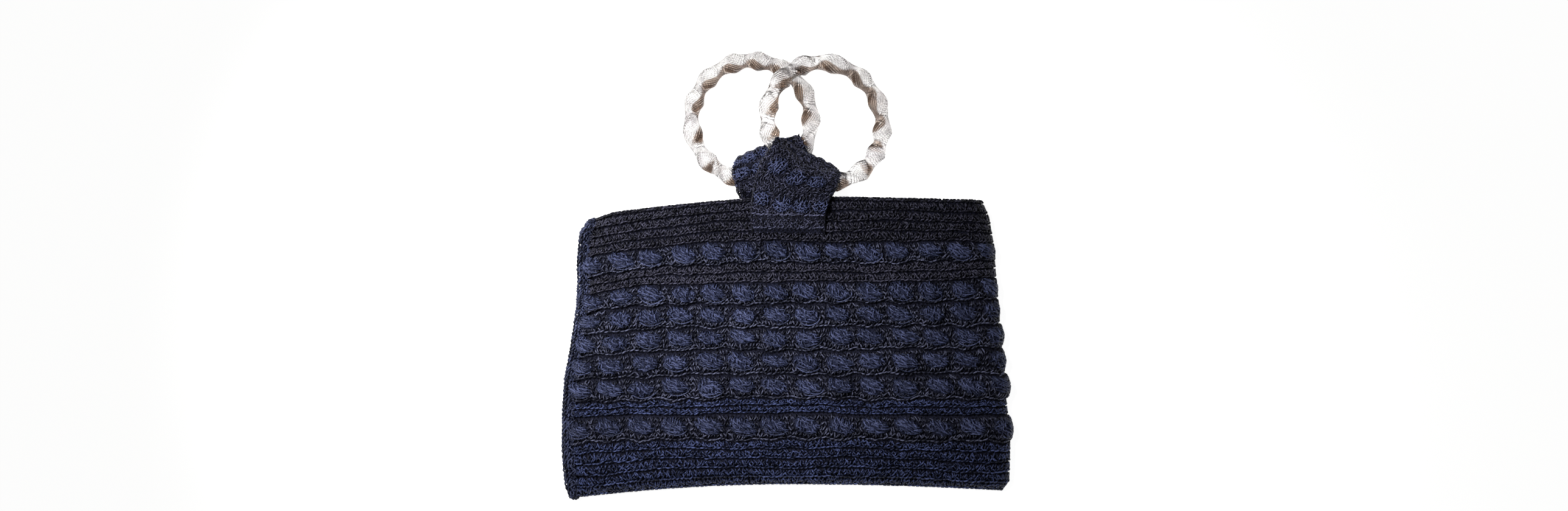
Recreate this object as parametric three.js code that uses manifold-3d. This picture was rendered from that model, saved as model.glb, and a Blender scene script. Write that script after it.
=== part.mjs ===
// Crochet handbag lying on its back, front face up. Millimetres, +Z up, +Y from the bottom fold to the mouth.
import * as THREE from "three";
import { LoftGeometry } from "three/addons/geometries/LoftGeometry.js";
import { mergeVertices } from "three/addons/utils/BufferGeometryUtils.js";
import Module from "manifold-3d";

const wasm = await Module();
wasm.setup();

// Pouch
const wallThickness = 4.5;
const frontHeight = 18.5;
const seamHeight = 7.5;
const frontRound = 16;
const backRound = 9;
const bobbleRise = 2.6;
const rimRise = 1.2;
const columnsAcross = 28;
const columnCrowding = 0.75; // 0 spaces the columns evenly, 1 crowds them fully towards the seams
const bottomSteps = [0, 0.9, 3.2]; // heights above the bottom fold where it rounds over
const swellSteps = [0, 0.12, 0.5, 0.88]; // fractions of a bobble row's height
const insideSteps = [1, 0.85, 0.7, 0.55, 0.4, 0.25, 0.12, 0.05, 0.015, 0]; // fractions of the inside's depth

// Outline of the pouch, a line for each level from the bottom fold to the mouth. The row that has height y at
// the middle of the bag drops at its ends by leftDrop and rightDrop, late at the left if leftBend is high.
const outline = [
  { y: -139.8, left: -144.0, right: 143.0, leftDrop: 9.3, rightDrop: 4.1, leftBend: 1.9 },
  { y: -133.0, left: -147.3, right: 147.4, leftDrop: 8.4, rightDrop: 4.6, leftBend: 2.2 },
  { y: -119.0, left: -149.2, right: 147.9, leftDrop: 6.3, rightDrop: 3.5, leftBend: 2.6 },
  { y: -107.0, left: -149.7, right: 148.0, leftDrop: 4.0, rightDrop: 1.8, leftBend: 3.0 },
  { y: -88.0, left: -149.5, right: 146.2, leftDrop: 4.0, rightDrop: 2.0, leftBend: 3.0 },
  { y: -65.0, left: -148.0, right: 143.4, leftDrop: 4.8, rightDrop: -0.6, leftBend: 3.0 },
  { y: -40.0, left: -143.6, right: 141.0, leftDrop: 5.4, rightDrop: -2.0, leftBend: 3.0 },
  { y: -14.0, left: -140.0, right: 139.2, leftDrop: 7.2, rightDrop: -3.6, leftBend: 3.2 },
  { y: 6.0, left: -139.3, right: 138.0, leftDrop: 13.8, rightDrop: -1.6, leftBend: 3.5 },
  { y: 22.0, left: -139.6, right: 136.8, leftDrop: 13.0, rightDrop: 0.5, leftBend: 2.8 },
  { y: 40.0, left: -138.0, right: 134.0, leftDrop: 13.0, rightDrop: 1.8, leftBend: 1.8 },
  { y: 49.3, left: -134.0, right: 130.0, leftDrop: 12.5, rightDrop: 2.0, leftBend: 1.45 },
];

// Crochet rows from the bottom fold upwards. The bobble rows' ends bulge out of the right fold by scallop.
const crochetRows = [
  { kind: "plain", count: 5, height: 6.4, scallop: 0 },
  { kind: "bobble", count: 1, height: 16.6, scallop: 2.4 },
  { kind: "plain", count: 2, height: 5.2, scallop: 0 },
  { kind: "bobble", count: 1, height: 15.6, scallop: 3.6 },
  { kind: "bobble", count: 1, height: 16.4, scallop: 2.0 },
  { kind: "bobble", count: 1, height: 14.7, scallop: 2.4 },
  { kind: "bobble", count: 1, height: 15.7, scallop: 0.6 },
  { kind: "bobble", count: 1, height: 13.4, scallop: 0.3 },
  { kind: "plain", count: 2, height: 6.7, scallop: 0 },
  { kind: "bobble", count: 1, height: 13.6, scallop: 0.3 },
  { kind: "plain", count: 4, height: 6.8, scallop: 0 },
];

// The mouth gapes where the tabs pull on it: the front wall rises, and the back wall clears the back tab.
const mouthLift = { rise: 5.5, reachX: 62, fromY: -5, toY: 46 };
const backLift = { rise: 3.7, middleX: -6.5, flatX: 42, fadeX: 34, fromY: -12, toY: 22 };

// Left edging band
const edging = { halfWidth: 2.6, halfHeight: 6.4, sides: 10 };
const touchGap = 0.6;

// Ring handles: a flat reeded bar, twisted and bent round
const ringRadius = 39.8;
const barHalfWidth = 6.7;
const barHalfThickness = 3.7;
const halfTwists = 13;
const stationsPerTwist = 6;
const barSides = 10;
const frontRingPlace = { x: 25.1, y: 100.2, z: 20.4, slopeX: -0.31, slopeY: -0.11 };
const backRingPlace = { x: -24.3, y: 103.0, z: 8.6, slopeX: 0.018, slopeY: -0.04 };

// Tabs: a strip sewn on the bag at its lower end and folded over its ring. Each line is a level of the strip.
const sleeveGap = 0.35;
const stripThickness = 3.0;
const patchThickness = 3.2;
const patchGap = 0.5;
const rimClear = 4.7;
const tabColumns = 12;
const tunnelSides = 16;
const tunnelSteps = 72;
// The strip leaves the front face between fromY and toY, and lies on it again far from the bar.
const frontTabLift = { fromY: 36, toY: 56, fullWithin: 11, noneBeyond: 25 };
const backTabLiftLength = 4.5;
const frontTabLevels = [
  { leftX: -22.6, leftY: 27.0, rightX: 23.4, rightY: 26.4 },
  { leftX: -23.2, leftY: 34.0, rightX: 23.6, rightY: 33.6 },
  { leftX: -23.2, leftY: 41.0, rightX: 23.8, rightY: 39.8 },
  { leftX: -22.8, leftY: 48.0, rightX: 25.0, rightY: 45.6 },
  { leftX: -21.6, leftY: 55.0, rightX: 27.2, rightY: 51.4 },
  { leftX: -19.8, leftY: 62.0, rightX: 30.4, rightY: 55.6 },
  { leftX: -17.2, leftY: 69.0, rightX: 32.6, rightY: 59.4 },
  { leftX: -13.8, leftY: 76.0, rightX: 34.0, rightY: 63.0 },
  { leftX: -10.2, leftY: 83.0, rightX: 34.6, rightY: 66.2 },
  { leftX: -6.6, leftY: 90.0, rightX: 34.4, rightY: 69.0 },
];
const backTabLevels = [
  { leftX: -29.6, leftY: 27.0, rightX: 17.0, rightY: 27.0 },
  { leftX: -30.0, leftY: 35.0, rightX: 17.2, rightY: 35.0 },
  { leftX: -30.4, leftY: 43.0, rightX: 17.4, rightY: 43.0 },
  { leftX: -30.8, leftY: 50.0, rightX: 17.8, rightY: 50.5 },
  { leftX: -32.2, leftY: 54.4, rightX: 18.0, rightY: 57.5 },
  { leftX: -33.8, leftY: 58.6, rightX: 17.4, rightY: 65.5 },
  { leftX: -35.2, leftY: 63.0, rightX: 15.6, rightY: 73.0 },
  { leftX: -36.2, leftY: 67.4, rightX: 13.2, rightY: 80.5 },
  { leftX: -36.6, leftY: 71.8, rightX: 10.4, rightY: 87.5 },
  { leftX: -36.4, leftY: 75.8, rightX: 7.0, rightY: 94.0 },
];

const navyCrochet = new THREE.MeshStandardMaterial({ color: 0x1b2038, roughness: 0.8, metalness: 0 });
const navyEdging = new THREE.MeshStandardMaterial({ color: 0x232a4a, roughness: 0.8, metalness: 0 });
const navyTab = new THREE.MeshStandardMaterial({ color: 0x1a1e33, roughness: 0.8, metalness: 0 });
const clearPlastic = new THREE.MeshStandardMaterial({ color: 0xe6e2dd, roughness: 0.15, metalness: 0 });

const { lerp, clamp, smoothstep } = THREE.MathUtils;

// Quarter ellipse from 0 at an edge to 1 at the distance reach from it
function crown(distance, reach) {
  const t = clamp(distance / reach, 0, 1);
  return Math.sqrt(1 - (1 - t) ** 2);
}

// Values of the outline at a row's middle height, straight between its lines
function outlineAt(y) {
  const last = outline.length - 1;
  let i = 0;
  while (i < last - 1 && outline[i + 1].y < y) i += 1;
  const t = clamp((y - outline[i].y) / (outline[i + 1].y - outline[i].y), 0, 1);
  const at = {};
  for (const key of Object.keys(outline[i])) at[key] = lerp(outline[i][key], outline[i + 1][key], t);
  return at;
}

// Each single row with its lower edge, from the bottom fold to the mouth
function listRows() {
  const list = [];
  let low = outline[0].y;
  for (const row of crochetRows) {
    for (let i = 0; i < row.count; i += 1) {
      list.push({ ...row, low });
      low += row.height;
    }
  }
  return list;
}

const rows = listRows();
const bottomY = outline[0].y;
const mouthY = outline[outline.length - 1].y;
const edgingInset = 2 * edging.halfWidth + touchGap;

// How far up a bobble row's swell a height lies, 0 on plain rows and between rows
function swellAt(y) {
  const row = rows.findLast((r) => r.low <= y + 1e-6);
  const t = clamp((y - row.low) / row.height, 0, 1);
  const swell = row.kind === "bobble" ? Math.sqrt(Math.sin(Math.PI * t)) : 0;
  return { swell, scallop: swell * row.scallop };
}

// Place on the bag's plan of the fraction u from the left seam to the right fold, on the row of height y
function planAt(u, y) {
  const at = outlineAt(y);
  const left = at.left + edgingInset;
  const right = at.right + swellAt(y).scallop;
  const x = lerp(left, right, u);
  const toLeft = clamp(x / at.left, 0, 1);
  const toRight = clamp(x / at.right, 0, 1);
  const drop = at.leftDrop * toLeft ** at.leftBend + at.rightDrop * toRight ** 2;
  return { x, y: y - drop, width: right - left };
}

// Height of the front face away from the seams
function frontAt(x, y) {
  const reach = Math.exp(-((x / mouthLift.reachX) ** 2));
  return frontHeight + mouthLift.rise * reach * smoothstep(y, mouthLift.fromY, mouthLift.toY);
}

// Height of the underside away from the seams: 0 where it rests, raised over the back tab's patch
function undersideAt(x, y) {
  const beside = Math.abs(x - backLift.middleX) - backLift.flatX;
  const across = 1 - smoothstep(beside, 0, backLift.fadeX);
  return backLift.rise * across * smoothstep(y, backLift.fromY, backLift.toY);
}

// Points of one ring round the pouch: along the front from left to right and back along the underside.
// inset is 0 on the outside and the wall's thickness on the inside.
function pouchRing(y, inset, rise = 0) {
  const ring = [];
  const inside = inset > 0 ? inset / planAt(0.5, y).width : 0;
  const swell = inset > 0 ? 0 : swellAt(y).swell * bobbleRise;
  const fromBottom = y - bottomY - inset;
  const point = (fraction, front) => {
    const u = lerp(inside, 1 - inside, fraction);
    const plan = planAt(u, y);
    const fromSide = Math.min(fraction, 1 - fraction) * plan.width * (1 - 2 * inside);
    const round = front ? frontRound : backRound;
    const full = crown(fromSide, round) * crown(fromBottom, round);
    const level = front
      ? frontAt(plan.x, plan.y) + swell - inset
      : undersideAt(plan.x, plan.y) + inset;
    return new THREE.Vector3(plan.x, plan.y + rise, lerp(seamHeight, level, full));
  };
  for (let i = 0; i <= columnsAcross; i += 1) ring.push(point(spread(i), true));
  for (let i = columnsAcross - 1; i > 0; i -= 1) ring.push(point(spread(i), false));
  return ring;
}

// Columns stand closer near the seams, where the pouch rounds over
function spread(i) {
  const t = i / columnsAcross;
  return lerp(t, (1 - Math.cos(Math.PI * t)) / 2, columnCrowding);
}

// Heights of the rings on the outside: the bottom's rounding, then the rows with the bobble rows' swells
function outsideLevels() {
  const levels = bottomSteps.map((d) => bottomY + d);
  for (const row of rows.slice(1)) {
    const steps = row.kind === "bobble" ? swellSteps : [0];
    for (const t of steps) levels.push(row.low + t * row.height);
  }
  return [...levels, mouthY - rimRise, mouthY];
}

function pouchGeometry() {
  const outside = outsideLevels().map((y) => pouchRing(y, 0));
  const rim = [0.25, 0.75].map((t) => pouchRing(mouthY, t * wallThickness, rimRise));
  const insideFloor = bottomY + wallThickness;
  const inside = insideSteps.map((t) => pouchRing(lerp(insideFloor, mouthY, t), wallThickness));
  return new LoftGeometry([...outside, ...rim, ...inside]);
}

// Oval band along the left seam
function edgingGeometry() {
  const sections = outline.map((line) => {
    const ring = [];
    for (let i = 0; i < edging.sides; i += 1) {
      const angle = (2 * Math.PI * i) / edging.sides;
      const x = line.left + edging.halfWidth * (1 - Math.cos(angle));
      const z = seamHeight + edging.halfHeight * Math.sin(angle);
      ring.push(new THREE.Vector3(x, line.y - line.leftDrop, z));
    }
    return ring;
  });
  return new LoftGeometry(sections, { capStart: true, capEnd: true });
}

// Twisted bar bent into a ring about +Z
function ringGeometry() {
  const stations = halfTwists * stationsPerTwist;
  const sections = [];
  for (let i = 0; i <= stations; i += 1) {
    const angle = (2 * Math.PI * i) / stations;
    const twist = (halfTwists * angle) / 2;
    const ring = [];
    for (let j = 0; j < barSides; j += 1) {
      const around = (2 * Math.PI * j) / barSides;
      const wide = -barHalfWidth * Math.cos(around);
      const thick = barHalfThickness * Math.sin(around);
      const radial = wide * Math.cos(twist) + thick * Math.sin(twist);
      const axial = thick * Math.cos(twist) - wide * Math.sin(twist);
      const r = ringRadius + radial;
      ring.push(new THREE.Vector3(r * Math.cos(angle), r * Math.sin(angle), axial));
    }
    sections.push(ring);
  }
  return new LoftGeometry(sections);
}

// The ring's plane has the slopes given in its place.
function ringTurn(place) {
  const normal = new THREE.Vector3(-place.slopeX, -place.slopeY, 1).normalize();
  return new THREE.Quaternion().setFromUnitVectors(new THREE.Vector3(0, 0, 1), normal);
}

function solidOf(geometry) {
  const bare = new THREE.BufferGeometry().copy(geometry);
  bare.deleteAttribute("normal");
  bare.deleteAttribute("uv");
  const merged = mergeVertices(bare, 1e-3);
  const vertProperties = merged.attributes.position.array;
  const triVerts = new Uint32Array(merged.index.array);
  return new wasm.Manifold(new wasm.Mesh({ numProp: 3, vertProperties, triVerts }));
}

function geometryOf(solid) {
  const made = solid.getMesh();
  const geometry = new THREE.BufferGeometry();
  geometry.setAttribute("position", new THREE.BufferAttribute(made.vertProperties, 3));
  geometry.setIndex(new THREE.BufferAttribute(made.triVerts, 1));
  return geometry;
}

// The ring's plane above a place on the plan, and how far a sleeve round the bar stands off that plane
function sleeveAt(place, x, y) {
  const dx = x - place.x;
  const dy = y - place.y;
  const dz = place.slopeX * dx + place.slopeY * dy;
  const fromBar = Math.hypot(dx, dy, dz) - ringRadius;
  const sleeveRadius = barHalfWidth + sleeveGap + stripThickness;
  const steep = Math.hypot(place.slopeX, place.slopeY, 1);
  const bulge = Math.sqrt(Math.max(0, sleeveRadius ** 2 - fromBar ** 2)) * steep;
  return { plane: place.z + dz, bulge, fromBar };
}

// Lower and upper height of the front tab: a patch on the front face, then two layers of strip round the ring
function frontTabHeights(x, y) {
  const sleeve = sleeveAt(frontRingPlace, x, y);
  const near = 1 - smoothstep(sleeve.fromBar, frontTabLift.fullWithin, frontTabLift.noneBeyond);
  const lift = smoothstep(y, frontTabLift.fromY, frontTabLift.toY) * near;
  const face = frontAt(x, Math.min(y, mouthY)) + patchGap;
  const middle = lerp(face + patchThickness / 2, sleeve.plane, lift);
  const half = Math.max(lerp(patchThickness / 2, stripThickness, lift), sleeve.bulge);
  const low = y < mouthY + rimClear ? Math.max(middle - half, face) : middle - half;
  return { low, high: Math.max(middle + half, low + patchThickness) };
}

// Lower and upper height of the back tab: a patch under the back wall, then two layers round the ring
function backTabHeights(x, y) {
  const sleeve = sleeveAt(backRingPlace, x, y);
  const rimY = mouthY + rimRise;
  const lift = smoothstep(y, rimY, rimY + backTabLiftLength);
  const middle = lerp(patchThickness / 2, sleeve.plane, lift);
  const half = Math.max(lerp(patchThickness / 2, stripThickness, lift), sleeve.bulge * lift);
  return { low: Math.max(middle - half, 0), high: middle + half };
}

function tabGeometry(levels, heights, place) {
  const sections = [];
  for (const level of levels) {
    const top = [];
    const under = [];
    for (let i = 0; i <= tabColumns; i += 1) {
      const x = lerp(level.leftX, level.rightX, i / tabColumns);
      const y = lerp(level.leftY, level.rightY, i / tabColumns);
      const { low, high } = heights(x, y);
      top.push(new THREE.Vector3(x, y, high));
      under.unshift(new THREE.Vector3(x, y, low));
    }
    sections.push([...top, ...under]);
  }
  const strip = solidOf(new LoftGeometry(sections, { capStart: true, capEnd: true }));
  const tunnel = new THREE.TorusGeometry(ringRadius, barHalfWidth + sleeveGap, tunnelSides, tunnelSteps);
  tunnel.applyQuaternion(ringTurn(place)).translate(place.x, place.y, place.z);
  return geometryOf(strip.subtract(solidOf(tunnel)));
}

function addMesh(parent, name, geometry, material) {
  const mesh = new THREE.Mesh(geometry, material);
  mesh.name = name;
  parent.add(mesh);
  return mesh;
}

function addRing(parent, name, place) {
  const ring = addMesh(parent, name, ringGeometry(), clearPlastic);
  ring.position.set(place.x, place.y, place.z);
  ring.quaternion.copy(ringTurn(place));
}

const handbag = new THREE.Group();
addMesh(handbag, "bag_body", pouchGeometry(), navyCrochet);
addMesh(handbag, "left_edging", edgingGeometry(), navyEdging);
addMesh(handbag, "front_tab", tabGeometry(frontTabLevels, frontTabHeights, frontRingPlace), navyTab);
addMesh(handbag, "back_tab", tabGeometry(backTabLevels, backTabHeights, backRingPlace), navyTab);
addRing(handbag, "front_ring", frontRingPlace);
addRing(handbag, "back_ring", backRingPlace);

export default handbag;
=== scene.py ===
import bpy
import numpy as np
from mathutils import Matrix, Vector


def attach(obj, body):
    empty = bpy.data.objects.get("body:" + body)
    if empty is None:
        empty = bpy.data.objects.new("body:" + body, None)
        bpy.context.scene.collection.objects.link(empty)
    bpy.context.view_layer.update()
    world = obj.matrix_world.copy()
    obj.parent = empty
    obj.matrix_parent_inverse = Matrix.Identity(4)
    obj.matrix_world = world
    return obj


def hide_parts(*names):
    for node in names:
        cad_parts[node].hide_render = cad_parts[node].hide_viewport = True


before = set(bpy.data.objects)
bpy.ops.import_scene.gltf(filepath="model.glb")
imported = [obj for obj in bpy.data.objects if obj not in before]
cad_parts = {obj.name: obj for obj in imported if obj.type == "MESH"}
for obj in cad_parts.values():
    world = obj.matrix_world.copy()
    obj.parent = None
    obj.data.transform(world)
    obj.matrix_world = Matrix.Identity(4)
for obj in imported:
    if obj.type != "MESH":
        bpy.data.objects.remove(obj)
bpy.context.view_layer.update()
mm = 0.001
chance = np.random.default_rng(23)
print("frame loaded:", ", ".join(sorted(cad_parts)))


# camera and light

studio = {
    "aim": (-2.44, 12.6),  # millimetres, the point of the table under the camera
    "cameraHeight": 750.0,
    "frameWidth": 1056.9,  # what the picture's width takes in at table height
    "sensor": 36.0,
    "nearClip": 0.01,
    "floorSize": 9.0,
    "floorDrop": 0.1,  # millimetres under the bag
    "floorRough": 0.55,
    "floorColor": (0.90, 0.90, 0.895, 1),
    "worldColor": (0.95, 0.96, 1.0, 1),
    "worldStrength": 0.06,
    "floorGlow": 1.0,  # the floor is a light table, so shadows stay faint
    # place and aim in metres, size in metres, watts, colour, spread in degrees
    "lamps": {
        "key": ((-0.24, 0.12, 0.48), (-0.06, -0.03, 0), 0.28, 0.74, (1.0, 0.99, 0.98), 60),
        "fill": ((0.85, -0.35, 1.10), (0, 0, 0), 0.90, 0.2, (0.95, 0.97, 1.0), 180),
        "top": ((0.0, 0.05, 1.60), (0, 0, 0), 1.20, 0.9, (1.0, 1.0, 1.0), 180),
    },
}


def addCamera():
    x, y = (value * mm for value in studio["aim"])
    bpy.ops.object.camera_add(location=(x, y, studio["cameraHeight"] * mm), rotation=(0, 0, 0))
    camera = bpy.context.object
    camera.name = "camera"
    camera.data.sensor_width = studio["sensor"]
    camera.data.lens = studio["sensor"] * studio["cameraHeight"] / studio["frameWidth"]
    camera.data.clip_start = studio["nearClip"]
    bpy.context.scene.camera = camera


def addLamps():
    for name, (place, aim, size, watts, color, spread) in studio["lamps"].items():
        bpy.ops.object.light_add(type="AREA", location=place)
        lamp = bpy.context.object
        lamp.name = name + "_light"
        lamp.data.shape = "DISK"
        lamp.data.size = size
        lamp.data.energy = watts
        lamp.data.color = color
        lamp.data.spread = np.radians(spread)
        lamp.visible_camera = False
        lamp.rotation_euler = (Vector(aim) - Vector(place)).to_track_quat("-Z", "Y").to_euler()


def addWorld():
    world = bpy.data.worlds.new("studio_world")
    world.use_nodes = True
    background = world.node_tree.nodes["Background"]
    background.inputs["Color"].default_value = studio["worldColor"]
    background.inputs["Strength"].default_value = studio["worldStrength"]
    bpy.context.scene.world = world


def addFloor():
    bpy.ops.mesh.primitive_plane_add(size=studio["floorSize"], location=(0, 0, -studio["floorDrop"] * mm))
    floor = bpy.context.object
    floor.name = "floor"
    paper = bpy.data.materials.new("pale_floor")
    paper.use_nodes = True
    shader = paper.node_tree.nodes["Principled BSDF"]
    shader.inputs["Base Color"].default_value = studio["floorColor"]
    shader.inputs["Roughness"].default_value = studio["floorRough"]
    shader.inputs["Emission Color"].default_value = studio["floorColor"]
    shader.inputs["Emission Strength"].default_value = studio["floorGlow"]
    floor.data.materials.append(paper)


bpy.context.scene.view_settings.view_transform = "Standard"
addCamera()
addLamps()
addWorld()
addFloor()
print("studio ready")


# small helpers

def lerp(low, high, t):
    return low + (high - low) * t


def smoothstep(value, low, high):
    t = np.clip((value - low) / (high - low), 0, 1)
    return t * t * (3 - 2 * t)


def crown(distance, reach):  # quarter ellipse from 0 at an edge to 1 at reach
    t = np.clip(distance / reach, 0, 1)
    return np.sqrt(1 - (1 - t) ** 2)


def unit(vectors):
    return vectors / (np.linalg.norm(vectors, axis=-1, keepdims=True) + 1e-12)


def stray(reach, shape):  # small uneven amounts, as in hand work
    return chance.uniform(-reach, reach, shape)


def spotsOf(mesh):  # in millimetres
    spots = np.zeros(len(mesh.vertices) * 3, np.float32)
    mesh.vertices.foreach_get("co", spots)
    return spots.reshape(-1, 3).astype(float) / mm


def placeSpots(mesh, spots):
    mesh.vertices.foreach_set("co", (spots * mm).astype(np.float32).ravel())


def markMesh(mesh, name, values):
    layer = mesh.attributes.new(name, "FLOAT", "POINT")
    layer.data.foreach_set("value", values.astype(np.float32))


# the pouch's shape, in millimetres

pouch = {
    "wall": 4.5,
    "frontHeight": 18.5,
    "seamHeight": 7.5,
    "frontRound": 16.0,
    "backRound": 9.0,
    "rimRise": 1.2,
    "edgingInset": 5.8,  # the edging band's width and its gap
    "cornerDrop": 2.2,  # how far the mouth's left corner is rounded
    "cornerReach": 9.0,
    "cornerTall": 14.0,
    # level, left, right, left drop, right drop, left bend
    "outline": [
        (-139.8, -144.0, 143.0, 9.3, 4.1, 1.9),
        (-133.0, -147.3, 147.4, 8.4, 4.6, 2.2),
        (-119.0, -149.2, 147.9, 6.3, 3.5, 2.6),
        (-107.0, -149.7, 148.0, 4.0, 1.8, 3.0),
        (-88.0, -149.5, 146.2, 4.0, 2.0, 3.0),
        (-65.0, -148.0, 143.4, 4.8, -0.6, 3.0),
        (-40.0, -143.6, 141.0, 5.4, -2.0, 3.0),
        (-14.0, -140.0, 139.2, 7.2, -3.6, 3.2),
        (6.0, -139.3, 138.0, 13.8, -1.6, 3.5),
        (22.0, -139.6, 136.8, 13.0, 0.5, 2.8),
        (40.0, -138.0, 134.0, 13.0, 1.8, 1.8),
        (49.3, -134.0, 130.0, 12.5, 2.0, 1.45),
    ],
    # kind, how many, height, bulge at the right fold, how much lighter its strands are
    "rows": [
        ("plain", 5, 6.4, 0.0, 0.0),
        ("bobble", 1, 16.6, 2.4, 0.0),
        ("plain", 2, 5.2, 0.0, 0.0),
        ("bobble", 1, 15.6, 3.6, 0.0),
        ("bobble", 1, 16.4, 2.0, 0.0),
        ("bobble", 1, 14.7, 2.4, 0.0),
        ("bobble", 1, 15.7, 0.6, 0.0),
        ("bobble", 1, 13.4, 0.3, 0.0),
        ("plain", 2, 6.7, 0.0, 0.20),
        ("bobble", 1, 13.6, 0.3, 0.0),
        ("plain", 4, 6.8, 0.0, 0.03),
    ],
    "mouthLift": {"rise": 5.5, "reach": 62.0, "fromY": -5.0, "toY": 46.0},
    "backLift": {"rise": 3.7, "middle": -6.5, "flat": 42.0, "fade": 34.0, "fromY": -12.0, "toY": 22.0},
    "lengthSamples": 1201,  # how finely, and at which y, lengths round the bag are measured
    "measuredAt": -40.0,
    "seamGap": 0.0005,  # of the way round, kept clear of the seam
    "rowSway": 0.55,  # how far a row wanders up and down
    # waves round the bag, waves in a millimetre upwards, phase and share of each part of that
    "swayWaves": [
        (2.3, 0.011, 0.4, 1.0),
        (5.1, -0.023, 2.1, 0.7),
        (11.7, 0.047, 4.0, 0.45),
    ],
    "swayFade": (14.0, 12.0),  # millimetres from the bottom fold and from the mouth
    "bobbleDip": 1.5,  # how far a row's lower edge sags under a bobble
    "dipReach": 4.5,
    "rowBulge": 1.5,  # how far a bobble row swells between its grooves
    "grooveDepth": 2.5,
    "grooveWidth": 1.3,
    "pressedKeep": 0.26,  # how much of a stitch's height is left under the bag
    "foldKeep": 0.2,  # and how much on the right fold
    "foldReach": 0.035,  # of the way round
    "pressedTop": 4.6,  # the height that the table flattens to the underside
    "pressedSink": 0.6,
    "pressedFrom": (1.0, 1.03),  # of the way round, where the pressing sets in and where it ends
    "pressedTo": (1.985, 2.0),
    "foldSink": 1.0,  # millimetres that the bottom fold's stitches lie deeper
    "foldSinkReach": 2.6,
    "probe": 0.5,  # millimetres each way that a surface is felt for its slope
}
bobbleSet = {
    "columns": 14,
    "first": 0.032,
    "spacing": 0.0718,  # of the bag's width along its front
    "height": 0.53,  # of a row's height
    "stray": 1.2,
    "strayUp": 0.5,  # of that, how far up or down
    "halfLong": 9.0,
    "halfTall": 4.9,
    "tilt": -15.0,  # degrees
    "turn": -42.0,  # of the strands
    "rise": 3.2,
}
outline = np.array(pouch["outline"])
bottomY, mouthY = outline[0, 0], outline[-1, 0]


def listRows():
    found = []
    low = bottomY
    for kind, count, height, bulge, lighter in pouch["rows"]:
        for _ in range(count):
            found.append({"kind": kind, "low": low, "height": height, "bulge": bulge, "lighter": lighter})
            low += height
    return found


rows = listRows()
rowLow = np.array([row["low"] for row in rows])
rowHeight = np.array([row["height"] for row in rows])
rowBulge = np.array([row["bulge"] for row in rows])
rowIsBobble = np.array([row["kind"] == "bobble" for row in rows])


def rowAt(y):
    return np.clip(np.searchsorted(rowLow, y + 1e-6) - 1, 0, len(rows) - 1)


def swellAt(y):  # 1 along the middle of a bobble row, 0 on plain rows
    row = rowAt(y)
    t = np.clip((y - rowLow[row]) / rowHeight[row], 0, 1)
    return rowIsBobble[row] * np.sqrt(np.sin(np.pi * t).clip(0))


def outlineAt(y, column):
    return np.interp(y, outline[:, 0], outline[:, column])


def planAt(u, y):
    left, right = outlineAt(y, 1), outlineAt(y, 2)
    start = left + pouch["edgingInset"]
    end = right + swellAt(y) * rowBulge[rowAt(y)]
    x = lerp(start, end, u)
    drop = outlineAt(y, 3) * np.clip(x / left, 0, 1) ** outlineAt(y, 5)
    drop = drop + outlineAt(y, 4) * np.clip(x / right, 0, 1) ** 2
    corner = np.exp(-(((x - start) / pouch["cornerReach"]) ** 2))
    corner = corner * smoothstep(y, mouthY - pouch["cornerTall"], mouthY)
    return x, y - drop - pouch["cornerDrop"] * corner, end - start


def frontAt(x, y):
    lift = pouch["mouthLift"]
    reach = np.exp(-((x / lift["reach"]) ** 2))
    return pouch["frontHeight"] + lift["rise"] * reach * smoothstep(y, lift["fromY"], lift["toY"])


def undersideAt(x, y):
    lift = pouch["backLift"]
    across = 1 - smoothstep(np.abs(x - lift["middle"]) - lift["flat"], 0, lift["fade"])
    return lift["rise"] * across * smoothstep(y, lift["fromY"], lift["toY"])


def wallAt(fraction, y, front, inset=0.0):
    inside = inset / planAt(0.5, y)[2]
    x, planY, width = planAt(lerp(inside, 1 - inside, fraction), y)
    fromSide = np.minimum(fraction, 1 - fraction) * width * (1 - 2 * inside)
    reach = np.where(front, pouch["frontRound"], pouch["backRound"])
    full = crown(fromSide, reach) * crown(y - bottomY - inset, reach)
    level = np.where(front, frontAt(x, planY) - inset, undersideAt(x, planY) + inset)
    return np.stack([x, planY, lerp(pouch["seamHeight"], level, full)], -1)


# s runs round the bag by length: 0 at the left seam, 1 at the right fold, 2 back at the left seam
fractionSteps = np.linspace(0, 1, pouch["lengthSamples"])


def lengthSteps(front):
    profile = wallAt(fractionSteps, np.full_like(fractionSteps, pouch["measuredAt"]), front)
    steps = np.linalg.norm(np.diff(profile, axis=0), axis=-1)
    return np.concatenate([[0], np.cumsum(steps)])


frontSteps, backSteps = lengthSteps(True), lengthSteps(False)
frontLength, backLength = frontSteps[-1], backSteps[-1]


def fractionAt(s):
    onFront = np.interp(s, frontSteps / frontLength, fractionSteps)
    onBack = np.interp(2 - s, backSteps / backLength, fractionSteps)
    return np.where(s <= 1, onFront, onBack)


def sway(s, y):  # slow ups and downs of the hand-made rows
    wave = sum(share * np.sin(2 * np.pi * (around * s + upward * y) + phase)
               for around, upward, phase, share in pouch["swayWaves"])
    overFold, underMouth = pouch["swayFade"]
    fade = smoothstep(y, bottomY, bottomY + overFold) * (1 - smoothstep(y, mouthY - underMouth, mouthY))
    column = (np.where(s <= 1, s, 2 - s) - bobbleSet["first"]) / bobbleSet["spacing"]
    under = 0.5 + 0.5 * np.cos(2 * np.pi * column)
    near = sum(np.exp(-(((y - low) / pouch["dipReach"]) ** 2)) for low in rowLow[rowIsBobble])
    return fade * (pouch["rowSway"] * wave - pouch["bobbleDip"] * under * near)


def offSeam(s):
    return np.clip(s, pouch["seamGap"], 2 - pouch["seamGap"])


def pouchSurface(s, y):
    s = offSeam(s)
    y = np.clip(y + sway(s, y), bottomY, mouthY)
    return wallAt(fractionAt(s), y, s <= 1)


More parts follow.
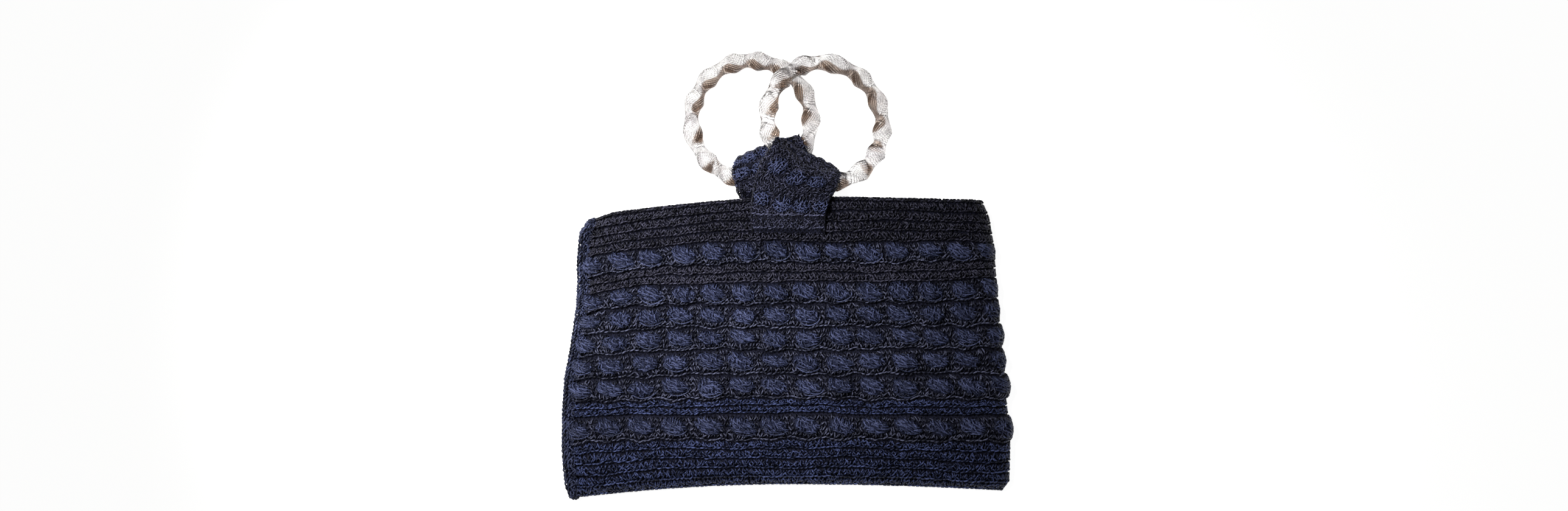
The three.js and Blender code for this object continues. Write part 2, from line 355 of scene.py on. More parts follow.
def pressed(s, lift):  # the bag's weight flattens what lies under it, and the right fold is drawn tight
    under = smoothstep(s, *pouch["pressedFrom"]) * (1 - smoothstep(s, *pouch["pressedTo"]))
    fold = np.exp(-(((s - 1) / pouch["foldReach"]) ** 2))
    lift = lift * (1 - (1 - pouch["foldKeep"]) * fold)
    flat = pouch["pressedKeep"] * (lift - pouch["pressedTop"]) - pouch["pressedSink"]
    return lerp(lift, flat, under)


def makeCloth(surface, wide, tall, turn=1, ground=None, press=None):
    # surface(a, b) gives points, wide and tall are the millimetres of one unit of a and b
    stepA, stepB = pouch["probe"] / wide, pouch["probe"] / tall

    def place(a, b, lift):
        a, b, lift = np.broadcast_arrays(a, b, lift)
        along = surface(a + stepA, b) - surface(a - stepA, b)
        upward = surface(a, b + stepB) - surface(a, b - stepB)
        normal = turn * unit(np.cross(along, upward))
        height = lift + ground(a, b) if ground else lift
        height = press(a, height) if press else height
        return surface(a, b) + normal * height[..., None], normal

    return {"place": place, "wide": wide, "tall": tall}


def pouchSwell(s, y):  # bobble rows swell, and the bottom fold is drawn tight
    fold = np.exp(-(((y - bottomY) / pouch["foldSinkReach"]) ** 2))
    return pouch["rowBulge"] * swellAt(y) - pouch["foldSink"] * fold


pouchCloth = makeCloth(pouchSurface, frontLength, 1.0, 1, pouchSwell, pressed)


# yarn: every strand is a closed tube, and many strands are one mesh

strand = {
    "tableGap": 0.05,  # millimetres that the lowest strands stay above the table
    "endThin": 0.28,  # how much thinner a strand is at its ends, and how much painted shade darkens them where they go into the cloth
    "endShade": 0.2,
    "curlAside": 0.5,
    "riseStray": 0.2,
    "tintStray": 0.4,
}


def tube(points, normals, radius, sides, tint):
    return {"points": points, "normals": normals, "radius": radius, "sides": sides, "tint": tint}


def tubeArrays(batch):
    points, sides = batch["points"].copy(), batch["sides"]
    count, steps = points.shape[:2]
    radius = np.broadcast_to(batch["radius"], (count, steps))
    points[..., 2] = np.maximum(points[..., 2], radius + strand["tableGap"])
    tangent = unit(np.gradient(points, axis=1))
    across = unit(np.cross(tangent, batch["normals"]))
    raised = np.cross(across, tangent)
    angle = 2 * np.pi * (np.arange(sides) + 0.5) / sides
    ring = np.cos(angle)[:, None] * across[:, :, None] + np.sin(angle)[:, None] * raised[:, :, None]
    corners = points[:, :, None] + radius[:, :, None, None] * ring
    index = np.arange(count * steps * sides).reshape(count, steps, sides)
    after = np.roll(index, -1, axis=2)
    quads = np.stack([index[:, :-1], index[:, 1:], after[:, 1:], after[:, :-1]], -1)
    caps = np.concatenate([index[:, 0], index[:, -1, ::-1]])
    gone = np.linalg.norm(np.diff(points, axis=1), axis=-1)
    length = np.concatenate([np.zeros((count, 1)), np.cumsum(gone, axis=1)], 1)
    u = np.arange(sides) / sides
    quadUv = np.zeros((count, steps - 1, sides, 4, 2))
    quadUv[..., 0] = (u[:, None] + np.array([0, 0, 1, 1]) / sides)
    quadUv[..., 1] = np.stack([length[:, :-1], length[:, 1:], length[:, 1:], length[:, :-1]], -1)[:, :, None]
    capUv = np.zeros((2 * count, sides, 2))
    capUv[..., 0] = 0.5
    capUv[..., 1] = np.concatenate([length[:, 0], length[:, -1]])[:, None]
    tint = np.broadcast_to(np.reshape(batch["tint"], (count, -1)), (count, steps))
    return {
        "corners": corners.reshape(-1, 3),
        "quads": quads.reshape(-1, 4),
        "caps": caps,
        "uv": np.concatenate([quadUv.reshape(-1, 2), capUv.reshape(-1, 2)]),
        "tint": np.repeat(tint.reshape(-1), sides),
    }


def strandMesh(name, batches):
    corners, loops, counts, uvs, tints = [], [], [], [], []
    base = 0
    for batch in batches:
        if not len(batch["points"]):
            continue
        made = tubeArrays(batch)
        corners.append(made["corners"])
        tints.append(made["tint"])
        uvs.append(made["uv"])
        for faces in (made["quads"], made["caps"]):
            loops.append((faces + base).reshape(-1))
            counts.append(np.full(len(faces), faces.shape[1]))
        base += len(made["corners"])
    corners, loops, counts = np.concatenate(corners), np.concatenate(loops), np.concatenate(counts)
    mesh = bpy.data.meshes.new(name)
    mesh.vertices.add(len(corners))
    placeSpots(mesh, corners)
    mesh.loops.add(len(loops))
    mesh.loops.foreach_set("vertex_index", loops.astype(np.int32))
    mesh.polygons.add(len(counts))
    mesh.polygons.foreach_set("loop_start", (np.cumsum(counts) - counts).astype(np.int32))
    mesh.update(calc_edges=True)
    mesh.validate()
    mesh.polygons.foreach_set("use_smooth", counts == 4)
    strandMap = mesh.uv_layers.new(name="strand")
    strandMap.data.foreach_set("uv", np.concatenate(uvs).astype(np.float32).ravel())
    markMesh(mesh, "tint", np.concatenate(tints))
    piece = bpy.data.objects.new(name, mesh)
    bpy.context.scene.collection.objects.link(piece)
    return piece, int((counts - 2).sum())


totalTriangles = 0


def finishPiece(piece, material, slotName, body, triangles, *stoodFor):
    global totalTriangles
    piece.data.materials.clear()
    piece.data.materials.append(material)
    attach(piece, body)
    if stoodFor:
        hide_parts(*stoodFor)
    totalTriangles += triangles
    print(f"{piece.name}: {triangles} triangles, {totalTriangles} in all")


def strandPiece(name, batches, material, slotName):
    piece, triangles = strandMesh(name, batches)
    finishPiece(piece, material, slotName, "bag", triangles)


def dashes(cloth, a, b, halfA, halfB, look, tint):
    # short strands that come up out of the cloth, lie over it and go back in, halves in millimetres
    count = len(a)
    t = np.linspace(-1, 1, look["steps"])
    curl = look["curl"] * chance.uniform(-1, 1, (count, 1)) * (1 - t ** 2)
    rise = look["rise"] + stray(strand["riseStray"], (count, 1))
    lift = look["lift"] + rise * np.cos(0.5 * np.pi * t)
    b = b + chance.uniform(-1, 1, count) * look["stray"] / cloth["tall"]
    atA = a[:, None] + (halfA[:, None] * t + strand["curlAside"] * curl) / cloth["wide"]
    atB = b[:, None] + (halfB[:, None] * t + curl) / cloth["tall"]
    points, normals = cloth["place"](atA, atB, lift)
    # painted shade: a strand darkens towards its ends, where it goes into the cloth
    shade = tint + stray(strand["tintStray"], (count, 1)) - strand["endShade"] * t ** 2
    radius = look["radius"] * (1 - strand["endThin"] * t ** 2)
    return {**tube(points, normals, radius, look["sides"], shade), "middles": (a, b)}


ridgeSet = {
    "spotStray": 0.12,  # of a stitch
    "reachStray": 0.08,
    "slantStray": 0.5,
    "patch": 5,  # stitches from a light place to a dark one, and how dark and light they are
    "patchTint": (-0.4, 0.2),
}


def ridge(cloth, b, stitches, look, span, tint):
    # slanted dashes side by side, as the top of a crochet row shows
    pitch = (span[1] - span[0]) * cloth["wide"] / stitches
    spots = np.arange(stitches) + 0.5 + stray(ridgeSet["spotStray"], stitches)
    a = lerp(span[0], span[1], spots / stitches)
    halfA = pitch * (look["reach"] + stray(ridgeSet["reachStray"], stitches))
    halfB = look["slant"] + stray(ridgeSet["slantStray"], stitches)
    patches = np.arange(0, stitches + ridgeSet["patch"], ridgeSet["patch"])
    patchy = np.interp(np.arange(stitches), patches, chance.uniform(*ridgeSet["patchTint"], len(patches)))
    return dashes(cloth, a, b, halfA, halfB, look, tint + patchy[:, None])


legSet = {
    "spotStray": 0.42,  # of half a stitch
    "lean": 0.32,
    "leanStray": 0.6,
    "turned": 0.3,  # of the strands, those that lean the other way
    "uneven": (-0.35, 0.3),
}


def legs(cloth, b, stitches, tall, look, span, tint):
    # pairs of strands that lean towards each other, a V for each stitch
    count = 2 * stitches
    pitch = (span[1] - span[0]) * cloth["wide"] / stitches
    spots = 0.5 * (np.arange(count) + 0.5 + stray(legSet["spotStray"], count))
    a = lerp(span[0], span[1], spots / stitches)
    lean = legSet["lean"] * pitch + stray(legSet["leanStray"], count)
    leftward = (np.arange(count) % 2 == 0) ^ (chance.random(count) < legSet["turned"])
    halfA = np.where(leftward, lean, -lean)
    halfB = 0.5 * tall * (1 + chance.uniform(*legSet["uneven"], count))
    return dashes(cloth, a, b, halfA, halfB, look, tint)


zigzagSet = {
    "drift": (0.9, 0.83, 9.0),  # how far, how often and from where its turns run early or late
    "lean": 0.17,
    "leanStray": 0.08,
    "uneven": (0.75, 1.3),
    "overFrom": 0.7,  # where in a turn it lies on top
    "liftStray": 0.14,
    # painted light and shade: lighter where the yarn lies on top, darker where it goes under
    "overUnderShade": 0.22,
    "tintStray": 0.22,
}


def zigzag(cloth, b, stitches, tall, look, span, phase, tint):
    # one yarn running up and down through the row, over at its tops and under at its feet
    steps = stitches * look["perStitch"] + 1
    t = np.arange(steps) / look["perStitch"]
    size, pace, start = zigzagSet["drift"]
    turn = 2 * np.pi * (t + phase) + size * np.sin(pace * t + start * phase)
    lean = zigzagSet["lean"] * np.sin(2 * turn) + stray(zigzagSet["leanStray"], steps)
    a = lerp(span[0], span[1], np.clip((t + lean) / stitches, 0, 1))
    uneven = np.interp(t, np.arange(stitches + 1), chance.uniform(*zigzagSet["uneven"], stitches + 1))
    high = 0.5 * tall * np.sin(turn) * uneven
    over = np.cos(2 * turn + zigzagSet["overFrom"])
    lift = look["lift"] + look["weave"] * over + stray(zigzagSet["liftStray"], steps)
    points, normals = cloth["place"](a[None], (b + high / cloth["tall"])[None], lift[None])
    # painted light on the crossings on top and painted shade at the feet
    shade = tint + zigzagSet["overUnderShade"] * over + stray(zigzagSet["tintStray"], steps)
    return tube(points, normals, look["radius"], look["sides"], shade[None])


def tilted(x, y):  # from a round of radius 1 to a bobble's tilted oval, in millimetres
    tilt = np.radians(bobbleSet["tilt"])
    x, y = x * bobbleSet["halfLong"], y * bobbleSet["halfTall"]
    return x * np.cos(tilt) - y * np.sin(tilt), x * np.sin(tilt) + y * np.cos(tilt)


bobbleStrands = {
    "lineSpan": 0.92,  # of the oval's half, how far out its lines of strands lie
    "lineStray": 0.07,
    "partSpan": 0.66,
    "partShift": 0.24,  # from one line to the next
    "partStray": 0.16,
    "tuckedAt": 1.02,
    "roundness": 1.07,
    "narrowing": 0.3,
    "bowFrom": 0.4,
    "turnStray": 20.0,  # degrees
    "long": (0.88, 1.1),
    "tall": (0.88, 1.12),
    "flatness": 0.92,
    "liftStray": 0.25,
    "tintStray": (0.1, 0.3),  # of a bobble and of a strand
    # where painted light on a bobble's top gives way to painted shade at its foot
    "crestFrom": 0.6,
}


def bobbles(cloth, a, b, look, tint):
    # low ovals of short strands that follow each other down to the right and are tucked in at both ends
    own = bobbleStrands
    count, lines, parts = len(a), look["lines"], look["parts"]
    whole, each = (count, 1, 1), (count, lines * parts, 1)
    line = np.repeat(np.arange(lines), parts)[None, :, None]
    part = np.tile(np.arange(parts), lines)[None, :, None]
    offset = lerp(-own["lineSpan"], own["lineSpan"], line / (lines - 1)) + stray(own["lineStray"], each)
    middle = lerp(-own["partSpan"], own["partSpan"], part / (parts - 1))
    middle = middle + own["partShift"] * (line % 2 - 0.5) + stray(own["partStray"], each)
    t = np.linspace(-1, 1, look["steps"])
    where = np.clip(middle + look["reach"] * t, -own["tuckedAt"], own["tuckedAt"])
    along = where * np.sqrt(own["roundness"] - np.clip(offset, -1, 1) ** 2)
    curl = look["curl"] * chance.uniform(-1, 1, each) * (1 - t ** 2)
    curl = curl + look["stray"] * chance.uniform(-1, 1, each) * t
    across = offset * (1 - own["narrowing"] * where ** 2) + look["bow"] * (where ** 2 - own["bowFrom"]) + curl
    turn = np.radians(bobbleSet["turn"] + stray(own["turnStray"], whole))
    x = (along * np.cos(turn) - across * np.sin(turn)) * chance.uniform(*own["long"], whole)
    y = (along * np.sin(turn) + across * np.cos(turn)) * chance.uniform(*own["tall"], whole)
    dome = np.sqrt(np.clip(1 - own["flatness"] * (x ** 2 + y ** 2), 0, 1))
    lift = look["lift"] + bobbleSet["rise"] * dome + look["arch"] * np.cos(0.5 * np.pi * t)
    lift = lift + stray(own["liftStray"], each)
    right, up = tilted(x, y)
    points, normals = cloth["place"](a[:, None, None] + right / cloth["wide"],
                                     b[:, None, None] + up / cloth["tall"], lift)
    ofBobble, ofStrand = own["tintStray"]
    shade = tint + stray(ofBobble, whole) + stray(ofStrand, each)
    # painted shade at the strand ends, and painted light on a bobble's top with painted shade at its foot
    shade = shade - strand["endShade"] * t ** 2 + look["crestLight"] * (dome - own["crestFrom"])
    flat = (count * lines * parts, look["steps"])
    points, normals = points.reshape(*flat, 3), normals.reshape(*flat, 3)
    radius = look["radius"] * (1 - strand["endThin"] * t ** 2)
    return tube(points, normals, radius, look["sides"], shade.reshape(flat))


arcSet = {
    "turnStray": 25.0,  # degrees
    "growStray": 0.05,
    "tintStray": (0.25, 0.15),  # of an arc and of each place along it
}


def gatherArcs(cloth, a, b, look, tint):
    # the arc of yarn that gathers a bobble at its lower right
    count, steps = len(a), look["steps"]
    t = np.linspace(0, 1, steps)
    angle = np.radians(look["from"] + stray(arcSet["turnStray"], (count, 1)) + look["sweep"] * t)
    grow = look["grow"] + stray(arcSet["growStray"], (count, 1))
    lift = look["lift"] + look["rise"] * np.sin(np.pi * t)
    right, up = tilted(grow * np.cos(angle), grow * np.sin(angle))
    points, normals = cloth["place"](a[:, None] + right / cloth["wide"],
                                     b[:, None] + up / cloth["tall"], lift)
    ofArc, ofPlace = arcSet["tintStray"]
    shade = tint + stray(ofArc, (count, 1)) + stray(ofPlace, (count, steps))
    return tube(points, normals, look["radius"], look["sides"], shade)


def keepStrands(batch, keep):
    # the strands of a batch that keep is true for
    shape = batch["points"].shape[:2]
    kept = {**batch, "points": batch["points"][keep], "normals": batch["normals"][keep]}
    kept["radius"] = np.broadcast_to(batch["radius"], shape)[keep]
    kept["tint"] = np.broadcast_to(np.reshape(batch["tint"], (shape[0], -1)), shape)[keep]
    return kept


# materials

yarns = {
    "plainYarn": {"light": (0.064, 0.083, 0.198, 1), "dark": (0.0020, 0.0028, 0.0090, 1)},
    # the yarn of the upper rows and the rim, greyer and darker than the lower rows'
    "upperRowsYarn": {"light": (0.052, 0.051, 0.080, 1), "dark": (0.0024, 0.0022, 0.0030, 1)},
    "groundYarn": {"light": (0.102, 0.109, 0.176, 1), "dark": (0.0024, 0.0026, 0.0058, 1)},
    # the bobbles' yarn: navy, made bluer than the ground's as painted sheen on the raised bobbles
    "bobbleSheenYarn": {"light": (0.080, 0.095, 0.196, 1), "dark": (0.0042, 0.0056, 0.0140, 1)},
    "edgingYarn": {"light": (0.068, 0.080, 0.160, 1), "dark": (0.0024, 0.0030, 0.0075, 1)},
    "tabYarn": {"light": (0.090, 0.094, 0.160, 1), "dark": (0.0026, 0.0023, 0.0036, 1)},
}
yarnFinish = {
    "plies": 0.55,  # turns a millimetre
    "plyStrands": 3.0,
    "rough": 0.40,
    "roughSpread": 0.2,
    "roughFrom": (0.3, 0.7),
    "gloss": 0.22,
    "glossTint": (0.80, 0.84, 1.0, 1),
    "bump": 0.12,
    "bumpStrength": 0.5,
    "fibreBump": 0.5,
    "tintLight": (0.9, -0.46),  # how much light a strand's tint adds, and where that starts
    # painted shade in the grooves between plies and painted light on their tops
    "plyShade": 0.22,
    # scale and detail, what counts as none and as full, and how much light it adds
    "noises": {
        # glint paints highlights in fine flecks; dye and fibre are the yarn's own uneven tone
        "glint": {"noise": (950.0, 1.0), "from": (0.36, 0.64), "adds": 0.46},
        "dye": {"noise": (38.0, 3.0), "from": (0.3, 0.7), "adds": 0.16},
        "fibre": {"noise": (2600.0, 2.0), "from": (0.35, 0.7), "adds": 0.2},
    },
    "contrast": 1.7,
    "lint": {"scale": 310.0, "detail": 4.0, "above": 0.745, "share": 0.35, "color": (0.30, 0.29, 0.28, 1)},
}


class NodeBench:  # lays nodes in a tree and links them by their sockets
    def __init__(self, tree):
        self.tree = tree

    def add(self, kind, **settings):
        node = self.tree.nodes.new(kind)
        for key, value in settings.items():
            setattr(node, key, value)
        return node

    def join(self, source, target):
        self.tree.links.new(source, target)

    def math(self, operation, first, second=None, third=None):
        node = self.add("ShaderNodeMath", operation=operation)
        for socket, value in zip(node.inputs, (first, second, third)):
            if value is None:
                continue
            if isinstance(value, (int, float)):
                socket.default_value = value
            else:
                self.join(value, socket)
        return node.outputs[0]

    def mixColor(self, factor, first, second):
        node = self.add("ShaderNodeMix", data_type="RGBA")
        for name, value in (("Factor_Float", factor), ("A_Color", first), ("B_Color", second)):
            socket = next(s for s in node.inputs if s.identifier == name)
            if isinstance(value, (tuple, float, int)):
                socket.default_value = value
            else:
                self.join(value, socket)
        return next(s for s in node.outputs if s.identifier == "Result_Color")

    def noise(self, vector, scale, detail):
        node = self.add("ShaderNodeTexNoise")
        node.inputs["Scale"].default_value = scale
        node.inputs["Detail"].default_value = detail
        self.join(vector, node.inputs["Vector"])
        return node.outputs["Fac"]

    def bump(self, height, strength, distance):  # distance in millimetres
        node = self.add("ShaderNodeBump")
        node.inputs["Strength"].default_value = strength
        node.inputs["Distance"].default_value = distance * mm
        self.join(height, node.inputs["Height"])
        return node.outputs["Normal"]

    def ramp(self, value, low, high):  # 0 at low and 1 at high
        node = self.add("ShaderNodeMapRange")
        node.inputs["From Min"].default_value = low
        node.inputs["From Max"].default_value = high
        self.join(value, node.inputs["Value"])
        return node.outputs["Result"]


def newMaterial(name):
    material = bpy.data.materials.new(name)
    material.use_nodes = True
    return material, NodeBench(material.node_tree), material.node_tree.nodes["Principled BSDF"]


def makeYarnGroup():
    # twisted plies with painted shade between them and painted light on their tops, painted glints, uneven
    # dye, fine fibres and a little lint
    group = bpy.data.node_groups.new("yarn_finish", "ShaderNodeTree")
    for name, kind in (("Light", "NodeSocketColor"), ("Dark", "NodeSocketColor"),
                       ("Plies", "NodeSocketFloat"), ("Rough", "NodeSocketFloat")):
        group.interface.new_socket(name=name, in_out="INPUT", socket_type=kind)
    for name, kind in (("Colour", "NodeSocketColor"), ("Roughness", "NodeSocketFloat"),
                       ("Height", "NodeSocketFloat")):
        group.interface.new_socket(name=name, in_out="OUTPUT", socket_type=kind)
    bench = NodeBench(group)
    given = bench.add("NodeGroupInput")
    result = bench.add("NodeGroupOutput")
    strandMap = bench.add("ShaderNodeUVMap", uv_map="strand")
    split = bench.add("ShaderNodeSeparateXYZ")
    bench.join(strandMap.outputs["UV"], split.inputs[0])
    place = bench.add("ShaderNodeTexCoord").outputs["Object"]
    tint = bench.add("ShaderNodeAttribute", attribute_name="tint").outputs["Fac"]
    turns = bench.math("MULTIPLY_ADD", split.outputs["Y"], given.outputs["Plies"],
                       bench.math("MULTIPLY", split.outputs["X"], yarnFinish["plyStrands"]))
    ply = bench.math("SINE", bench.math("MULTIPLY", turns, 2 * np.pi))
    ply = bench.ramp(ply, -1.0, 1.0)
    # the tint attribute carries each strand's own tone together with the painted light and shade that the
    # pieces give it
    light = bench.math("MULTIPLY_ADD", tint, *yarnFinish["tintLight"])
    light = bench.math("MULTIPLY_ADD", ply, yarnFinish["plyShade"], light)
    noises = {name: bench.noise(place, *look["noise"]) for name, look in yarnFinish["noises"].items()}
    for name, look in yarnFinish["noises"].items():
        light = bench.math("MULTIPLY_ADD", bench.ramp(noises[name], *look["from"]), look["adds"], light)
    fibre = noises["fibre"]
    light = bench.math("POWER", bench.ramp(light, 0.0, 1.0), yarnFinish["contrast"])
    yarnColor = bench.mixColor(light, given.outputs["Dark"], given.outputs["Light"])
    lint = yarnFinish["lint"]
    speck = bench.math("GREATER_THAN", bench.noise(place, lint["scale"], lint["detail"]), lint["above"])
    yarnColor = bench.mixColor(bench.math("MULTIPLY", speck, lint["share"]), yarnColor, lint["color"])
    bench.join(yarnColor, result.inputs["Colour"])
    uneven = bench.ramp(fibre, *yarnFinish["roughFrom"])
    rough = bench.math("MULTIPLY_ADD", uneven, yarnFinish["roughSpread"], given.outputs["Rough"])
    bench.join(rough, result.inputs["Roughness"])
    bench.join(bench.math("MULTIPLY_ADD", fibre, yarnFinish["fibreBump"], ply), result.inputs["Height"])
    return group


def makeYarn(name, group):
    material, bench, shader = newMaterial(name)
    finish = bench.add("ShaderNodeGroup", node_tree=group)
    finish.inputs["Light"].default_value = yarns[name]["light"]
    finish.inputs["Dark"].default_value = yarns[name]["dark"]
    finish.inputs["Plies"].default_value = yarnFinish["plies"]
    finish.inputs["Rough"].default_value = yarnFinish["rough"]
    normal = bench.bump(finish.outputs["Height"], yarnFinish["bumpStrength"], yarnFinish["bump"])
    bench.join(finish.outputs["Colour"], shader.inputs["Base Color"])
    bench.join(finish.outputs["Roughness"], shader.inputs["Roughness"])
    bench.join(normal, shader.inputs["Normal"])
    shader.inputs["Specular IOR Level"].default_value = yarnFinish["gloss"]
    shader.inputs["Specular Tint"].default_value = yarnFinish["glossTint"]
    return material


knit = {
    # painted shade: the wall's colours, far darker than the yarn's
    "light": (0.010, 0.011, 0.025, 1),
    "dark": (0.0017, 0.0019, 0.0052, 1),
    "underBobbles": (0.0150, 0.0185, 0.0440, 1),
    "stitchWide": 2.8,
    "stitchTall": 3.2,
    "fibre": (1400.0, 3.0, 0.4),  # scale, detail and share in the height
    "lightFrom": (0.75, 1.35),
    "bump": 0.9,
    "bumpStrength": 0.6,
    "rough": 0.75,
    "roughSpread": 0.2,
    "gloss": 0.15,
}


def makeKnit():
    # the wall behind the strands, coloured far darker than the yarn as painted shade between the strands:
    # small stitches in offset rows, lighter on their tops and darker in painted shade between them, felted by
    # fine fibres
    material, bench, shader = newMaterial("shadedKnitWall")
    place = bench.add("ShaderNodeTexCoord").outputs["Object"]
    split = bench.add("ShaderNodeSeparateXYZ")
    bench.join(place, split.inputs[0])
    across = bench.math("MULTIPLY", split.outputs["X"], np.pi / (knit["stitchWide"] * mm))
    upward = bench.math("MULTIPLY", split.outputs["Y"], np.pi / (knit["stitchTall"] * mm))
    legA = bench.math("ABSOLUTE", bench.math("SINE", bench.math("ADD", across, upward)))
    legB = bench.math("ABSOLUTE", bench.math("SINE", bench.math("SUBTRACT", across, upward)))
    stitch = bench.math("MAXIMUM", legA, legB)
    scale, detail, share = knit["fibre"]
    fibre = bench.noise(place, scale, detail)
    height = bench.math("MULTIPLY_ADD", fibre, share, stitch)
    color = bench.mixColor(bench.ramp(height, *knit["lightFrom"]), knit["dark"], knit["light"])
    bobble = bench.add("ShaderNodeAttribute", attribute_name="bobble").outputs["Fac"]
    color = bench.mixColor(bobble, color, knit["underBobbles"])
    bench.join(color, shader.inputs["Base Color"])
    rough = bench.math("MULTIPLY_ADD", fibre, knit["roughSpread"], knit["rough"])
    bench.join(rough, shader.inputs["Roughness"])
    bench.join(bench.bump(height, knit["bumpStrength"], knit["bump"]), shader.inputs["Normal"])
    shader.inputs["Specular IOR Level"].default_value = knit["gloss"]
    return material


yarnGroup = makeYarnGroup()
yarnOf = {name: makeYarn(name, yarnGroup) for name in yarns}
shadedKnitWall = makeKnit()
print("yarns ready:", ", ".join(yarnOf))


# bobble places, the same columns in every bobble row

def placeBobbles():
    centres = {}
    evenly = bobbleSet["first"] + bobbleSet["spacing"] * np.arange(bobbleSet["columns"])
    spots = np.concatenate([evenly, 2 - evenly[::-1]])
    for number, row in enumerate(rows):
        if row["kind"] == "bobble":
            aside, up = chance.uniform(-1, 1, (2, len(spots))) * bobbleSet["stray"]
            b = row["low"] + bobbleSet["height"] * row["height"] + bobbleSet["strayUp"] * up
            centres[number] = (spots + aside / frontLength, b)
    return centres


bobbleCentres = placeBobbles()


def grooveAt(y):  # how deep the line between two rows is cut
    row = rowAt(y)
    below = y - rowLow[row]
    near = np.minimum(below, rowHeight[row] - below)
    return pouch["grooveDepth"] * np.exp(-((near / pouch["grooveWidth"]) ** 2))


def fromBobble(s, y):  # squared distance from the nearest bobble's middle, 1 at its outline
    nearest = np.full(np.broadcast(s, y).shape, np.inf)
    tilt = np.radians(bobbleSet["tilt"])
    for a, b in bobbleCentres.values():
        for centreA, centreB in zip(a, b):
            right, up = (s - centreA) * frontLength, y - centreB
            along = (right * np.cos(tilt) + up * np.sin(tilt)) / bobbleSet["halfLong"]
            across = (up * np.cos(tilt) - right * np.sin(tilt)) / bobbleSet["halfTall"]
            nearest = np.minimum(nearest, along ** 2 + across ** 2)
    return nearest


def domeAt(s, y):
    return bobbleSet["rise"] * np.sqrt(np.clip(1 - fromBobble(s, y), 0, 1))


# the pouch's own wall, its dark colour painted shade between the strands, open at the mouth and hollow

shell = {
    "name": "bag_wall",
    "columns": 260,
    "outsideRows": 96,
    "insideRows": 10,
    "insideCrowding": 1.6,  # how much closer the inside's rows are towards its floor
    "rimDepths": (0.3, 0.7),  # of the wall's thickness
    "sink": 1.3,  # how far the wall lies under its stitches
    "mergeWithin": 0.05,
}


def shellLevels():
    # height and depth into the wall of each ring, from the bottom fold over the rim to the inside's floor
    outside = [(y, 0.0, 0.0) for y in np.linspace(bottomY, mouthY, shell["outsideRows"])]
    rim = [(mouthY, depth, pouch["rimRise"]) for depth in shell["rimDepths"]]
    inside = np.linspace(1, 0, shell["insideRows"]) ** shell["insideCrowding"]
    floor = bottomY + pouch["wall"]
    return np.array(outside + rim + [(lerp(floor, mouthY, t), 1.0, 0.0) for t in inside])


def foldGrid(name, columns, levels, place, bobbleMark=None):
    # a flat panel of columns by levels, folded to its shape and closed where its edges meet
    bpy.ops.object.select_all(action="DESELECT")
    bpy.ops.mesh.primitive_grid_add(x_subdivisions=columns, y_subdivisions=levels, size=2)
    piece = bpy.context.object
    piece.name = name
    flat = spotsOf(piece.data) * mm
    column = np.rint((flat[:, 0] + 1) / 2 * columns).astype(int)
    level = np.rint((flat[:, 1] + 1) / 2 * levels).astype(int)
    placeSpots(piece.data, place(column, level))
    if bobbleMark:
        markMesh(piece.data, "bobble", bobbleMark(column, level))
    bpy.ops.object.mode_set(mode="EDIT")
    bpy.ops.mesh.select_all(action="SELECT")
    bpy.ops.mesh.remove_doubles(threshold=shell["mergeWithin"] * mm)
    bpy.ops.mesh.normals_make_consistent(inside=False)
    bpy.ops.object.mode_set(mode="OBJECT")
    bpy.ops.object.shade_smooth()
    return piece


def trianglesOf(piece):
    return sum(len(face.vertices) - 2 for face in piece.data.polygons)


def buildShell():
    levels = shellLevels()

    def place(column, level):
        s = 2 * column / shell["columns"]
        y, depth, rise = levels[level].T
        lift = domeAt(s, y) - grooveAt(y) - shell["sink"]
        outside = pouchCloth["place"](s, y, lift)[0]
        bare = pouchSurface(s, y)
        inside = wallAt(fractionAt(s), y, s <= 1, pouch["wall"])
        seam = (column == 0) | (column == shell["columns"]) | (y <= bottomY + 1e-6)
        outside[seam] = bare[seam]
        spot = np.where((depth == 0)[:, None], outside, inside)
        middle = (depth > 0) & (depth < 1)
        spot[middle] = lerp(bare, inside, depth[:, None])[middle]
        spot[:, 1] += rise
        return spot

    def bobbleMark(column, level):
        y, depth, _ = levels[level].T
        return (depth == 0) * domeAt(2 * column / shell["columns"], y) / bobbleSet["rise"]

    piece = foldGrid(shell["name"], shell["columns"], len(levels) - 1, place, bobbleMark)
    finishPiece(piece, shadedKnitWall, "crochet", "bag", trianglesOf(piece), "bag_body")


buildShell()


# stitches on the pouch

